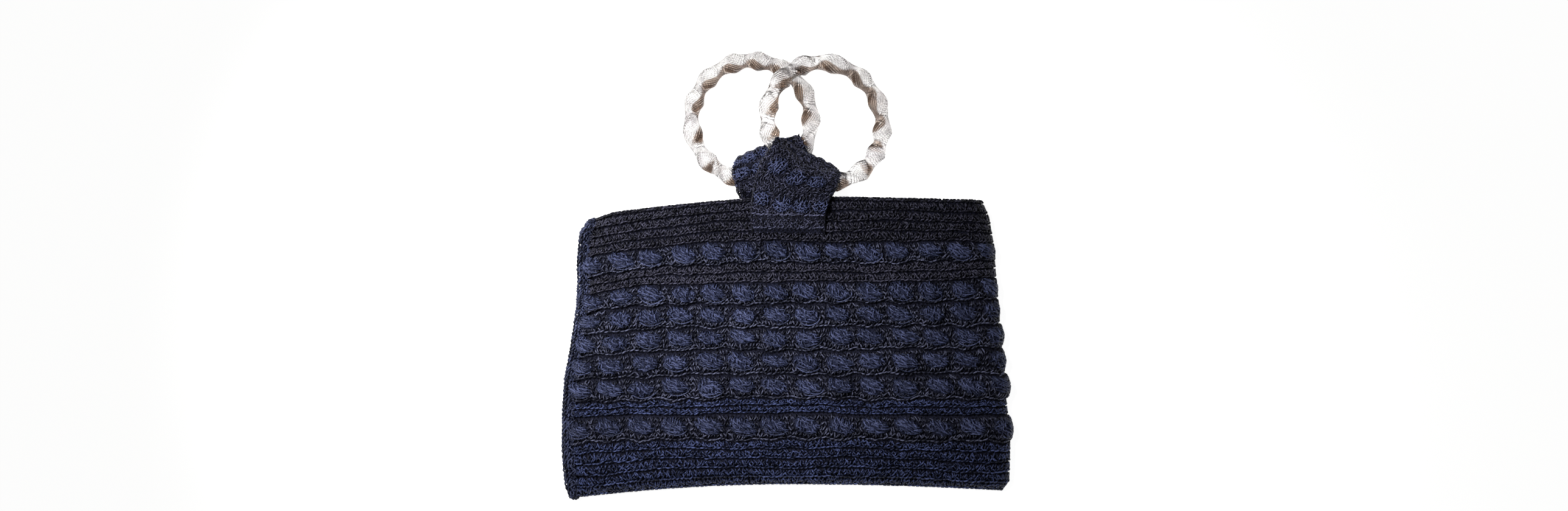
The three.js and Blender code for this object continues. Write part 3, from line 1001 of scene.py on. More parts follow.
stitchSet = {
    "across": 106,
    "lowerRows": 7,  # plain rows from the bottom in the bluer yarn
    "ridgeAbove": 0.95,  # of a row's lower edge
    "ridgeTint": 0.62,
    "plainFrom": 1.7,  # where a plain row's two lines start over its lower edge, and the room they leave
    "plainLeaves": 2.9,
    "plainTall": 0.68,  # of the room that is left
    "plainTint": 0.52,
    "groundTint": (0.60, 0.48),  # at a bobble row's lower and upper edge, darker upwards as painted shade in the recess above the bobbles
    "bobbleTint": 0.56,
    "arcTint": 0.5,
    "gathered": 0.45,  # of the bobbles, those with an arc of yarn round them
    "hiddenUnder": 0.80,  # of a bobble's outline, where the strands below it are left out
    "outlineShadow": 0.30,  # painted shadow: how much darker the strands round a bobble are
    "outlineAt": 1.15,
    "outlineWide": 0.3,
    # each look gives its strands' steps and sides, their reach as a share of a stitch, and in millimetres
    # their slant, curl, stray, lift off the cloth, rise in the middle and radius
    # a bobble's reach, curl, stray and bow are shares of its oval, and an arc's from and sweep are degrees
    "fold": {"tint": 0.5, "steps": 4, "sides": 4, "reach": 0.64, "curl": 0.02, "stray": 0.02, "lift": 0.4,
             "rise": 0.5, "radius": 0.6},
    "front": {
        "foldLines": (0.04, 0.3),  # millimetres above the bottom fold
        "ridge": {"steps": 5, "sides": 4, "reach": 0.60, "slant": 0.35, "curl": 0.3, "stray": 0.25,
                  "lift": -0.3, "rise": 1.25, "radius": 0.6},
        "legs": {"steps": 4, "sides": 4, "curl": 0.5, "stray": 0.5, "lift": -0.55, "rise": 0.8,
                 "radius": 0.55},
        "bobble": {"lines": 14, "parts": 3, "steps": 4, "sides": 4, "reach": 0.34, "curl": 0.20,
                   "stray": 0.22, "bow": 0.3, "crestLight": 0.38, "arch": 0.45, "lift": -0.7, "radius": 0.5},
        "arc": {"steps": 8, "sides": 4, "grow": 1.1, "from": -110, "sweep": 110, "lift": -0.1, "rise": 0.9,
                "radius": 0.5},
        "groundLines": ((0.19, 2.6), (0.38, 2.9), (0.60, 2.9), (0.81, 2.9)),
    },
    "back": {
        "foldLines": (0.06, 0.5),
        "ridge": {"steps": 4, "sides": 4, "reach": 0.60, "slant": 0.35, "curl": 0.3, "stray": 0.25,
                  "lift": -0.3, "rise": 1.25, "radius": 0.62},
        "zigzag": {"perStitch": 4, "sides": 3, "lift": -0.3, "weave": 0.36, "radius": 0.6},
        "bobble": {"lines": 7, "parts": 2, "steps": 4, "sides": 4, "reach": 0.55, "curl": 0.10, "stray": 0.07,
                   "bow": 0.3, "crestLight": 0.22, "arch": 0.5, "lift": -0.45, "radius": 0.8},
        "arc": {"steps": 6, "sides": 4, "grow": 1.1, "from": -110, "sweep": 110, "lift": -0.1, "rise": 0.9,
                "radius": 0.55},
        "groundLines": ((0.22, 2.8), (0.84, 2.8)),
    },
}


def fillLine(middle, tall, look, span, phase, tint):
    # stitches between the ridges, single strands on the front and one long yarn on the back
    if "zigzag" in look:
        return zigzag(pouchCloth, middle, stitchSet["across"], tall, look["zigzag"], span, phase, tint)
    return legs(pouchCloth, middle, stitchSet["across"], tall, look["legs"], span, tint)


def foldLine(above, span):
    # strands that lie end to end along the bottom fold
    look, count = stitchSet["fold"], stitchSet["across"]
    a = lerp(*span, (np.arange(count) + 0.5 + stray(ridgeSet["spotStray"], count)) / count)
    halfA = np.full(count, look["reach"] * frontLength / count)
    return dashes(pouchCloth, a, bottomY + above, halfA, np.zeros(count), look, look["tint"])


def rowRidge(row, look, span):
    above = row["low"] + stitchSet["ridgeAbove"]
    tint = stitchSet["ridgeTint"] + row["lighter"]
    return ridge(pouchCloth, above, stitchSet["across"], look["ridge"], span, tint)


def plainRow(row, look, span):
    made = [rowRidge(row, look, span)]
    room = row["height"] - stitchSet["plainLeaves"]
    tall, tint = stitchSet["plainTall"] * room, stitchSet["plainTint"] + row["lighter"]
    for part in (0.0, 0.5):
        middle = row["low"] + stitchSet["plainFrom"] + room * (0.25 + part)
        made.append(fillLine(middle, tall, look, span, part, tint))
    return made


def bobbleGround(row, look, span):
    made = [rowRidge(row, look, span)]
    lowTint, highTint = stitchSet["groundTint"]
    for part, tall in look["groundLines"]:
        # painted shade: the ground darkens towards the row's upper edge
        tint = lowTint - (lowTint - highTint) * part
        line = fillLine(row["low"] + part * row["height"], tall, look, span, part, tint)
        if "middles" in line:
            distance = fromBobble(*line["middles"])
            # painted shadow in a ring round each bobble
            near = np.exp(-(((distance - stitchSet["outlineAt"]) / stitchSet["outlineWide"]) ** 2))
            line["tint"] = line["tint"] - stitchSet["outlineShadow"] * near[:, None]
            line = keepStrands(line, distance > stitchSet["hiddenUnder"])
        made.append(line)
    return made


def bobblesOf(number, look, first, last):
    a, b = (values[first:last] for values in bobbleCentres[number])
    gathered = chance.random(len(a)) < stitchSet["gathered"]
    arcs = gatherArcs(pouchCloth, a[gathered], b[gathered], look["arc"], stitchSet["arcTint"])
    return [bobbles(pouchCloth, a, b, look["bobble"], stitchSet["bobbleTint"]), arcs]


def buildStitches(side, span, firstBobble, lastBobble):
    look = stitchSet[side]
    plainRows = [row for row in rows if row["kind"] == "plain"]
    bobbleRows = [number for number, row in enumerate(rows) if row["kind"] == "bobble"]
    lower, upper = plainRows[:stitchSet["lowerRows"]], plainRows[stitchSet["lowerRows"]:]
    for name, group, yarn in (("lower_rows", lower, "plainYarn"), ("upper_rows", upper, "upperRowsYarn")):
        made = [batch for row in group for batch in plainRow(row, look, span)]
        if name == "lower_rows":
            made.extend(foldLine(above, span) for above in look["foldLines"])
        strandPiece(f"{side}_{name}", made, yarnOf[yarn], "crochet")
    made = [batch for number in bobbleRows for batch in bobbleGround(rows[number], look, span)]
    strandPiece(f"{side}_bobble_ground", made, yarnOf["groundYarn"], "crochet")
    made = [batch for number in bobbleRows for batch in bobblesOf(number, look, firstBobble, lastBobble)]
    strandPiece(f"{side}_bobbles", made, yarnOf["bobbleSheenYarn"], "crochet")


columns = bobbleSet["columns"]
buildStitches("front", (0.0, 1.0), 0, columns)
buildStitches("back", (1.0, 2.0), columns, 2 * columns)


# ring handles: a flat reeded bar, twisted and bent round

ringSet = {
    "radius": 39.8,
    "halfWidth": 6.7,
    "halfThickness": 4.5,
    "halfTwists": 13,
    "around": 108,
    "along": 195,
    "reeds": 9,  # on each face of the bar
    "reedDepth": 0.7,
    "faceCurve": 2.4,  # higher is flatter
    "edgeCurve": 0.72,  # 0.5 is round, 1 is sharp
    "plainEdge": 0.12,  # of half the bar's width, where the reeds fade out
    "clearEdge": (0.84, 0.98),  # of half the bar's width, where the painted shade along the bar's edge starts and is full
    "wobbleShare": 0.6,  # of the finer wave in a bar's uneven twist
    "facetTurn": 0.6,  # how far down its sides a ring's brown facets of painted shade and reflection stay inside
    "facetFrom": (0.6, 1.1),  # from the bar's middle line, where the brown facets of painted shade and reflection start and are full
    "facetSlant": 1.5,
    "facetGap": 1.3,  # how much narrower they are at the pinches
    "front_ring": {"place": (25.1, 100.2, 20.4), "slope": (-0.31, -0.11), "wobble": (0.3, 1.0)},
    "back_ring": {"place": (-24.3, 103.0, 8.6), "slope": (0.018, -0.04), "wobble": (0.26, 2.6)},
}


def ringTurn(name):
    slopeX, slopeY = ringSet[name]["slope"]
    turn = Vector((0, 0, 1)).rotation_difference(Vector((-slopeX, -slopeY, 1)))
    return np.array(turn.to_matrix())


def ringTwist(name, angle):
    size, phase = ringSet[name]["wobble"]
    wobble = size * np.sin(2 * angle + phase)
    wobble = wobble + ringSet["wobbleShare"] * size * np.sin(5 * angle + 2 * phase)
    return ringSet["halfTwists"] * angle / 2 + wobble


def reedInset(across):  # depth of the grooves between the reeds, none at the bar's two edges
    reed = np.abs(np.sin(0.5 * np.pi * ringSet["reeds"] * (across + 1)))
    return ringSet["reedDepth"] * (1 - reed) * smoothstep(1 - np.abs(across), 0, ringSet["plainEdge"])


def fromRing(name, points):
    # angle round the ring, distance out from the bar's middle line, and height along the ring's axis
    local = (points - np.array(ringSet[name]["place"])) @ ringTurn(name)
    angle = np.arctan2(local[..., 1], local[..., 0])
    return angle, np.hypot(local[..., 0], local[..., 1]) - ringSet["radius"], local[..., 2]


def buildRing(name, material):
    def place(column, level):
        part = column / ringSet["around"]
        angle = 2 * np.pi * level / ringSet["along"]
        face = np.where(part < 0.5, 1, -1)
        across = np.where(part < 0.5, 1 - 4 * part, 4 * part - 3)  # 1 at one edge of the bar, -1 at the other
        body = np.clip(1 - np.abs(across) ** ringSet["faceCurve"], 0, 1) ** ringSet["edgeCurve"]
        thick = face * (ringSet["halfThickness"] * body - reedInset(across))
        wide = ringSet["halfWidth"] * across
        twist = ringTwist(name, angle)
        reach = ringSet["radius"] + wide * np.cos(twist) + thick * np.sin(twist)
        axial = thick * np.cos(twist) - wide * np.sin(twist)
        bar = np.stack([reach * np.cos(angle), reach * np.sin(angle), axial], -1)
        return bar @ ringTurn(name).T + np.array(ringSet[name]["place"])

    piece = foldGrid(name + "_bar", ringSet["around"], ringSet["along"], place)
    markRing(name, piece.data)
    finishPiece(piece, material, "clear_plastic", name, trianglesOf(piece), name)


def markRing(name, mesh):
    # the reeds' valleys, the brown facets of painted shade and reflection along the ring's inside, and how
    # near the bar's pinches are, where painted shade deepens
    angle, radial, axial = fromRing(name, spotsOf(mesh))
    twist = ringTwist(name, angle)
    across = np.clip((radial * np.cos(twist) - axial * np.sin(twist)) / ringSet["halfWidth"], -1, 1)
    facetSide = -np.clip(ringSet["facetTurn"] + np.sin(angle), -1, 1)  # inside, but outside at the bottom
    slant = ringSet["facetSlant"] * np.sin(2 * twist) - ringSet["facetGap"] * np.sin(twist) ** 4
    marks = {
        "valley": reedInset(across) / ringSet["reedDepth"],
        "facet": smoothstep(radial * facetSide + slant, *ringSet["facetFrom"]),
        "pinch": np.sin(twist) ** 4,
        "edge": smoothstep(np.abs(across), *ringSet["clearEdge"]),
    }
    for mark, values in marks.items():
        markMesh(mesh, mark, values)


acrylic = {
    "clear": (0.98, 0.97, 0.965, 1),
    # painted reflection: pale violet-grey patches on the bar's outer faces
    "reflectedLilac": (0.68, 0.65, 0.67, 1),
    "grey": (0.13, 0.105, 0.092, 1),
    # painted shade and reflection: the colours of the brown facets
    "taupe": (0.40, 0.28, 0.21, 1),
    "umber": (0.085, 0.050, 0.035, 1),
    "brown": (0.007, 0.004, 0.003, 1),
    "transmission": 0.90,
    "ior": 1.49,
    "rough": (0.05, 0.12),  # at least, and what haze adds
    # scale and detail of each noise
    "patch": (95.0, 3.0),
    "fleck": (330.0, 2.0),
    "haze": (400.0, 2.0),
    # from none to full, of a groove's depth or of a noise
    "grooveFrom": (0.15, 0.85),
    "lilacFrom": (0.42, 0.68),
    "lineFrom": (0.38, 0.58),
    "edgeFrom": (0.30, 0.62),
    "deepFrom": (0.46, 0.60),
    "hazeFrom": (0.3, 0.7),
    "lineShare": 0.6,
    "grooveShare": 0.92,
}


def makeAcrylic():
    material, bench, shader = newMaterial("reededAcrylic")
    place = bench.add("ShaderNodeTexCoord").outputs["Object"]
    valley, facet, pinch, edge = (bench.add("ShaderNodeAttribute", attribute_name=mark).outputs["Fac"]
                                  for mark in ("valley", "facet", "pinch", "edge"))
    patch, fleck, haze = (bench.noise(place, *acrylic[name]) for name in ("patch", "fleck", "haze"))
    groove = bench.ramp(valley, *acrylic["grooveFrom"])
    # painted reflection in pale violet-grey patches on the outer faces
    outer = bench.mixColor(bench.ramp(patch, *acrylic["lilacFrom"]), acrylic["clear"], acrylic["reflectedLilac"])
    # painted shade: grey lines in the reed valleys and along the bar's edges
    lines = bench.math("MULTIPLY", groove, bench.ramp(fleck, *acrylic["lineFrom"]))
    edgeLines = bench.math("MULTIPLY", edge, bench.ramp(patch, *acrylic["edgeFrom"]))
    lines = bench.math("MULTIPLY", bench.math("MAXIMUM", lines, edgeLines), acrylic["lineShare"])
    outer = bench.mixColor(lines, outer, acrylic["grey"])
    # painted shade: the facets deepen to umber at the pinches, and in random patches
    deep = bench.math("MAXIMUM", pinch, bench.ramp(patch, *acrylic["deepFrom"]))
    inner = bench.mixColor(deep, acrylic["taupe"], acrylic["umber"])
    # painted shade: near black in the reed valleys of the facets
    inner = bench.mixColor(bench.math("MULTIPLY", groove, acrylic["grooveShare"]), inner, acrylic["brown"])
    # painted shade and reflection on the ring's inward faces
    bench.join(bench.mixColor(facet, outer, inner), shader.inputs["Base Color"])
    least, added = acrylic["rough"]
    rough = bench.math("MULTIPLY_ADD", bench.ramp(haze, *acrylic["hazeFrom"]), added, least)
    bench.join(rough, shader.inputs["Roughness"])
    shader.inputs["Transmission Weight"].default_value = acrylic["transmission"]
    shader.inputs["IOR"].default_value = acrylic["ior"]
    return material


acrylicMaterial = makeAcrylic()
ringNames = ("front_ring", "back_ring")
for name in ringNames:
    buildRing(name, acrylicMaterial)


# tabs: crocheted strips sewn on the bag and folded over the rings

tabSet = {
    "sleeve": 10.05,  # radius of the strip's outside round the bar
    "strip": 3.0,
    "patch": 3.2,
    "patchGap": 0.5,
    "rimClear": 4.7,
    "soft": 1.2,  # how softly the sleeve runs into the strip
    "edgeRound": 0.6,
    "edgeSpan": (0.02, 0.955),  # of an edge's length that carries stitches, clear of the corners
    "edgeLump": 1.1,  # how far a stitch's lump stands out of the outline
    "lumpLong": 7.5,
    "lumpFrom": (0.3, 0.6),  # of the strip's length, where the lumps set in and are full
    "inward": 0.04,  # of the strip, a step in from its edge
    "foldReach": 5.0,
    "coreSink": 0.45,
    "mergeWithin": 0.005,
    "smoothUnder": 50.0,  # degrees
    "pressedKeep": 0.25,  # how much of a stitch's height is left on the table
    "pressedSink": 0.95,
    "ringClear": 0.1,  # between a strand and where a ring turns
    "tunnel": 7.2,  # radius of the way through a tab for its ring
    "fineWithin": 10.6,  # of the bar's middle line, where the strip's mesh is cut finer
    "fineCuts": 1,
    "wide": 48.0,  # size of the strip, and of its edges' height, that its stitches are spaced by
    "tall": 58.0,
    "edgeTall": 12.0,
    "bobbleHalf": 6.3,  # half of a bobble's length and half of its height
    "bobbleTall": 5.0,
    "bobbleRise": 3.0,
    "grooveDepth": 1.3,
    "grooveWidth": 1.2,
    # painted shade: how much darker the strands in a groove are
    "grooveShade": 0.5,
    "sewnShade": 0.34,  # painted shade: how much darker the edges are where the strip lies sewn down on the bag
    "sewnReach": (0.36, 0.6),
    "crestLight": 0.8,  # painted light and shade: how much lighter a bobble's top is than its foot
    "crestFrom": 0.55,
    "sheenFrom": 0.30,  # of a bobble's height, where the brighter, bluer yarn of painted sheen starts
    # painted sheen: how much lighter the raised strands are
    "sheenTint": 0.14,
    "faceTint": 0.5,
    "edgeTint": 0.45,
    "ridgeTint": 0.75,
    "ridgeAbove": 2.0,  # millimetres over a groove
    "ridgeStitches": 18,
    "tangle": {"pitch": 1.45, "half": 1.3, "lean": 48.0, "spread": 34.0, "steps": 4, "sides": 4, "curl": 0.45,
               "stray": 0.3, "lift": -0.35, "rise": 0.7, "radius": 0.43},
    "coarse": {"pitch": 2.7, "half": 2.0, "lean": 48.0, "spread": 30.0, "steps": 4, "sides": 4, "curl": 0.5,
               "stray": 0.35, "lift": -0.35, "rise": 0.8, "radius": 0.7},
    "ridge": {"steps": 5, "sides": 4, "reach": 0.62, "slant": 0.4, "curl": 0.3, "stray": 0.4, "lift": -0.3,
              "rise": 1.1, "radius": 0.55},
    "front": {
        "ring": "front_ring",
        "lift": (36.0, 56.0, 11.0, 25.0),  # from and to in y, full and none by the distance from the bar
        "topFrom": 0.0,
        "underFrom": 0.42,
        # left x, left y, right x, right y of each level from the sewn end to the fold
        "levels": [
            (-22.6, 27.0, 23.4, 26.4),
            (-23.2, 34.0, 23.6, 33.6),
            (-23.2, 41.0, 23.8, 39.8),
            (-22.8, 48.0, 25.0, 45.6),
            (-21.6, 55.0, 27.2, 51.4),
            (-19.8, 62.0, 30.4, 55.6),
            (-17.2, 69.0, 32.6, 59.4),
            (-13.8, 76.0, 34.0, 63.0),
            (-10.2, 83.0, 34.6, 66.2),
            (-6.6, 90.0, 34.4, 69.0),
        ],
        # places of the bobbles across and up the strip, and of the grooves between its rows
        "bobbles": [(0.11, 0.37), (0.40, 0.31), (0.67, 0.30), (0.95, 0.31),
                    (0.20, 0.71), (0.475, 0.627), (0.727, 0.618)],
        "grooves": (0.03, 0.168),
        # part of the fold where its lumps fade out, inset of the fold by its length, and the sewn end:
        # from and to in y, and how much of its thickness is left
        "plainFold": None,
        "foldInset": [(0.0, 1.4), (0.08, 1.2), (0.2, 1.6), (0.32, 2.6), (0.5, 2.2), (0.7, 1.0), (0.85, 1.2),
                      (1.0, 1.2)],
        "sewn": (26.0, 36.0, 0.3),
    },
    "back": {
        "ring": "back_ring",
        "lift": (50.5, 55.0),
        "topFrom": 0.36,
        "underFrom": 0.0,
        "levels": [
            (-29.6, 27.0, 17.0, 27.0),
            (-30.0, 35.0, 17.2, 35.0),
            (-30.4, 43.0, 17.4, 43.0),
            (-30.8, 50.0, 17.8, 50.5),
            (-32.2, 54.4, 18.0, 57.5),
            (-33.8, 58.6, 17.4, 65.5),
            (-35.2, 63.0, 15.6, 73.0),
            (-36.2, 67.4, 13.2, 80.5),
            (-36.6, 71.8, 10.4, 87.5),
            (-36.4, 75.8, 7.0, 94.0),
        ],
        "bobbles": [(0.10, 0.72), (0.36, 0.73), (0.62, 0.74), (0.88, 0.75),
                    (0.03, 0.90), (0.24, 0.93), (0.50, 0.94), (0.76, 0.95)],
        "grooves": (0.60, 0.81),
        "plainFold": (0.6, 0.75),
        "foldInset": [(0.0, 2.4), (0.1, 0.4), (0.25, 0.0), (0.7, 0.0), (0.9, 1.6), (1.0, 1.4)],
        "sewn": None,
    },
}


def softMax(first, second):
    return 0.5 * (first + second + np.hypot(first - second, tabSet["soft"]))


def sleeveAt(name, x, y):
    # the ring's plane above a place, a sleeve's height over that plane, and the distance from the bar
    place, slope = ringSet[name]["place"], ringSet[name]["slope"]
    dx, dy = x - place[0], y - place[1]
    dz = slope[0] * dx + slope[1] * dy
    fromBar = np.sqrt(dx ** 2 + dy ** 2 + dz ** 2) - ringSet["radius"]
    bulge = np.sqrt(np.clip(tabSet["sleeve"] ** 2 - fromBar ** 2, 0, None)) * np.hypot(1, np.hypot(*slope))
    return place[2] + dz, bulge, fromBar


def frontTabHeights(x, y):
    plane, bulge, fromBar = sleeveAt("front_ring", x, y)
    fromY, toY, full, none = tabSet["front"]["lift"]
    lift = smoothstep(y, fromY, toY) * (1 - smoothstep(fromBar, full, none))
    face = frontAt(x, np.minimum(y, mouthY)) + tabSet["patchGap"]
    middle = lerp(face + tabSet["patch"] / 2, plane, lift)
    half = softMax(lerp(tabSet["patch"] / 2, tabSet["strip"], lift), bulge)
    low = np.where(y < mouthY + tabSet["rimClear"], np.maximum(middle - half, face), middle - half)
    return low, np.maximum(middle + half, low + tabSet["patch"])


def backTabHeights(x, y):
    plane, bulge, _ = sleeveAt("back_ring", x, y)
    lift = smoothstep(y, *tabSet["back"]["lift"])
    middle = lerp(tabSet["patch"] / 2, plane, lift)
    half = softMax(lerp(tabSet["patch"] / 2, tabSet["strip"], lift), bulge * lift)
    return np.maximum(middle - half, 0), middle + half


def levelsAt(levels, u, v):
    u, v = np.broadcast_arrays(u, v)
    spot = v * (len(levels) - 1)
    below = np.clip(np.floor(spot).astype(int), 0, len(levels) - 2)
    leftX, leftY, rightX, rightY = np.moveaxis(
        lerp(levels[below], levels[below + 1], (spot - below)[..., None]), -1, 0)
    return lerp(leftX, rightX, u), lerp(leftY, rightY, u)


def drape(side, points):
    # draws the plain strip's fold in to its lumpy line, and thins its sewn end
    look = tabSet[side]
    left, right = np.array(look["levels"][-1]).reshape(2, 2)
    along = unit(right - left)
    outward = np.array([-along[1], along[0]])
    fromFold = points[..., :2] - left
    inset = np.interp(fromFold @ along / np.linalg.norm(right - left), *np.transpose(look["foldInset"]))
    near = np.exp(-((np.clip(-(fromFold @ outward), 0, None) / tabSet["foldReach"]) ** 2))
    shaped = points.copy()
    shaped[..., :2] -= outward * (inset * near)[..., None]
    if look["sewn"]:
        fromY, toY, thin = look["sewn"]
        x, y, z = np.moveaxis(shaped, -1, 0)
        face = frontAt(x, np.minimum(y, mouthY))
        keep = lerp(thin, 1, smoothstep(y, fromY, toY))
        shaped[..., 2] = np.where(y < toY, face + (z - face) * keep, z)
    return shaped


def tabCloth(side, part):
    # part is top, under, fold, left or right; a runs across or along an edge, b up the strip or up the edge
    levels = np.array(tabSet[side]["levels"])
    heights = frontTabHeights if side == "front" else backTabHeights
    inward, plainFold = tabSet["inward"], tabSet[side]["plainFold"]
    wide = tabSet["wide"] if part in ("top", "under", "fold") else tabSet["tall"]
    tall = tabSet["tall"] if part in ("top", "under") else tabSet["edgeTall"]

    def surface(a, b):
        if part in ("top", "under"):
            x, y = levelsAt(levels, a, b)
            return drape(side, np.stack([x, y, heights(x, y)[1 if part == "top" else 0]], -1))
        edge = {
            "fold": (a, 1.0, a, 1 - inward),
            "left": (0.0, a, inward, a),
            "right": (1.0, a, 1 - inward, a),
        }
        u, v, innerU, innerV = edge[part]
        plan = np.stack(levelsAt(levels, u, v), -1)
        outward = unit(plan - np.stack(levelsAt(levels, innerU, innerV), -1))
        low, high = heights(plan[..., 0], plan[..., 1])
        lump = np.abs(np.sin(np.pi * a * wide / tabSet["lumpLong"])) * smoothstep(v, *tabSet["lumpFrom"])
        if part == "fold" and plainFold:
            lump = lump * (1 - smoothstep(a, *plainFold))
        stand = (tabSet["edgeRound"] + tabSet["edgeLump"] * lump) * np.sin(np.pi * np.clip(b, 0, 1))
        plan = plan + outward * stand[..., None]
        return drape(side, np.concatenate([plan, lerp(low, high, b)[..., None]], -1))

    def pressDown(a, lift):  # what lies on the table stays inside the strip
        return tabSet["pressedKeep"] * lift - tabSet["pressedSink"]

    def relief(a, b):
        return tabDome(side, a, b) - tabSet["grooveDepth"] * tabGroove(side, b)

    turn = 1 if part in ("top", "right") else -1
    onTable = part == "under" and side == "back"
    return makeCloth(surface, wide, tall, turn, ground=relief if part == "top" else None,
                     press=pressDown if onTable else None)


def tabGroove(side, b):  # 1 along the line between two rows of the strip
    width = tabSet["grooveWidth"] / tabSet["tall"]
    return sum(np.exp(-(((b - low) / width) ** 2)) for low in tabSet[side]["grooves"])


def tabDome(side, a, b):
    dome = np.zeros(np.broadcast(a, b).shape)
    for across, up in tabSet[side]["bobbles"]:
        x = (a - across) * tabSet["wide"] / tabSet["bobbleHalf"]
        y = (b - up) * tabSet["tall"] / tabSet["bobbleTall"]
        dome = np.maximum(dome, tabSet["bobbleRise"] * np.sqrt(np.clip(1 - x * x - y * y, 0, 1)))
    return dome


tangleSet = {"spotStray": 0.3, "uneven": (0.8, 1.2)}  # of the pitch, and of a strand's length


def tangle(cloth, spanA, spanB, look, tint):
    # short strands side by side that lean left and right by turns, as close crochet shows
    counts = [max(1, round((high - low) * size / look["pitch"]))
              for (low, high), size in ((spanA, cloth["wide"]), (spanB, cloth["tall"]))]
    column, line = (index.ravel() for index in np.indices(counts))
    total = len(column)
    spotA = column + 0.5 + 0.5 * (line % 2) + stray(tangleSet["spotStray"], total)
    spotB = line + 0.5 + stray(tangleSet["spotStray"], total)
    a, b = lerp(*spanA, spotA / (counts[0] + 0.5)), lerp(*spanB, spotB / counts[1])
    lean = np.where((column + line) % 2, look["lean"], 180 - look["lean"])
    angle = np.radians(lean + look["spread"] * chance.uniform(-1, 1, total))
    half = look["half"] * chance.uniform(*tangleSet["uneven"], total)
    return dashes(cloth, a, b, half * np.cos(angle), half * np.sin(angle), look, tint)


def clearOfRings(batch):  # leaves out the strands that a ring would turn through
    keep = np.ones(len(batch["points"]), bool)
    for name in ringNames:
        _, radial, axial = fromRing(name, batch["points"])
        gap = np.hypot(radial, axial).min(axis=1) - np.max(batch["radius"]) - ringSet["halfWidth"]
        keep &= gap > tabSet["ringClear"]
    return keepStrands(batch, keep)


def tabStrands(side):
    # the strands of the bobbles, and all the others
    look, fine, whole = tabSet[side], tabSet["tangle"], (0.0, 1.0)
    face, faceTint, edgeTint = tabCloth(side, "top"), tabSet["faceTint"], tabSet["edgeTint"]
    top = tangle(face, whole, (look["topFrom"], 1.0), fine, faceTint)
    dome = tabDome(side, *top["middles"]) / tabSet["bobbleRise"]
    # painted light on the bobbles' tops with painted shade at their feet
    shade = np.where(dome > 0, tabSet["crestLight"] * (dome - tabSet["crestFrom"]), 0)
    # painted shade in the grooves between the strip's rows
    shade = shade - tabSet["grooveShade"] * tabGroove(side, top["middles"][1])
    top["tint"] = top["tint"] + shade[:, None]
    raised = dome > tabSet["sheenFrom"]
    made = [keepStrands(top, ~raised)]
    for low in look["grooves"]:
        above = low + tabSet["ridgeAbove"] / tabSet["tall"]
        made.append(ridge(face, above, tabSet["ridgeStitches"], tabSet["ridge"], whole, tabSet["ridgeTint"]))
    made.append(tangle(tabCloth(side, "under"), whole, (look["underFrom"], 1.0), tabSet["coarse"], edgeTint))
    made.append(tangle(tabCloth(side, "fold"), tabSet["edgeSpan"], whole, fine, faceTint))
    for part in ("left", "right"):
        edge = tangle(tabCloth(side, part), (look["topFrom"], tabSet["edgeSpan"][1]), whole, fine, edgeTint)
        # painted shade along the edges where the strip meets the bag
        sewn = 1 - smoothstep(edge["middles"][0], *tabSet["sewnReach"])
        edge["tint"] = edge["tint"] - tabSet["sewnShade"] * sewn[:, None]
        made.append(edge)
    # painted sheen: the raised strands take the bluer bobble yarn and are lighter
    blue = keepStrands(top, raised)
    blue["tint"] = blue["tint"] + tabSet["sheenTint"]
    return [clearOfRings(blue)], [clearOfRings(batch) for batch in made]


def pushedClear(points):
    # moves what a ring would turn through out to the wall of its tunnel
    for name in ringNames:
        angle, radial, axial = fromRing(name, points)
        reach = np.hypot(radial, axial)
        grow = np.maximum(tabSet["tunnel"] / reach, 1)
        out = ringSet["radius"] + radial * grow
        local = np.stack([out * np.cos(angle), out * np.sin(angle), axial * grow], -1)
        moved = local @ ringTurn(name).T + np.array(ringSet[name]["place"])
        points = np.where((grow > 1)[:, None], moved, points)
    return points


def coreOf(side, sink):
    # a copy of the plain solid, drawn in under the stitches
    node = side + "_tab"
    piece = bpy.data.objects.new(node + "_core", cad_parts[node].data.copy())
    bpy.context.scene.collection.objects.link(piece)
    bpy.ops.object.select_all(action="DESELECT")
    piece.select_set(True)
    bpy.context.view_layer.objects.active = piece
    bpy.ops.object.mode_set(mode="EDIT")
    bpy.ops.mesh.select_all(action="SELECT")
    bpy.ops.mesh.remove_doubles(threshold=tabSet["mergeWithin"] * mm)
    bpy.ops.mesh.normals_make_consistent(inside=False)
    bpy.ops.mesh.select_all(action="DESELECT")
    bpy.ops.object.mode_set(mode="OBJECT")
    _, radial, axial = fromRing(tabSet[side]["ring"], spotsOf(piece.data))
    piece.data.vertices.foreach_set("select", np.hypot(radial, axial) < tabSet["fineWithin"])
    bpy.ops.object.mode_set(mode="EDIT")
    bpy.ops.mesh.subdivide(number_cuts=tabSet["fineCuts"])
    bpy.ops.object.mode_set(mode="OBJECT")
    draw = piece.modifiers.new("draw_in", "DISPLACE")
    draw.strength = -sink * mm
    draw.mid_level = 0.0
    bpy.ops.object.modifier_apply(modifier=draw.name)
    placeSpots(piece.data, pushedClear(drape(side, spotsOf(piece.data))))
    piece.data.update()
    bpy.ops.object.shade_smooth_by_angle(angle=np.radians(tabSet["smoothUnder"]))
    return piece


for side in ("front", "back"):
    core = coreOf(side, tabSet["coreSink"])
    finishPiece(core, shadedKnitWall, "tab", "bag", trianglesOf(core), side + "_tab")
    blue, others = tabStrands(side)
    strandPiece(side + "_tab_bobbles", blue, yarnOf["bobbleSheenYarn"], "tab")
    strandPiece(side + "_tab_stitches", others, yarnOf["tabYarn"], "tab")


# left edging: slanted stitches along an oval band that closes at both ends

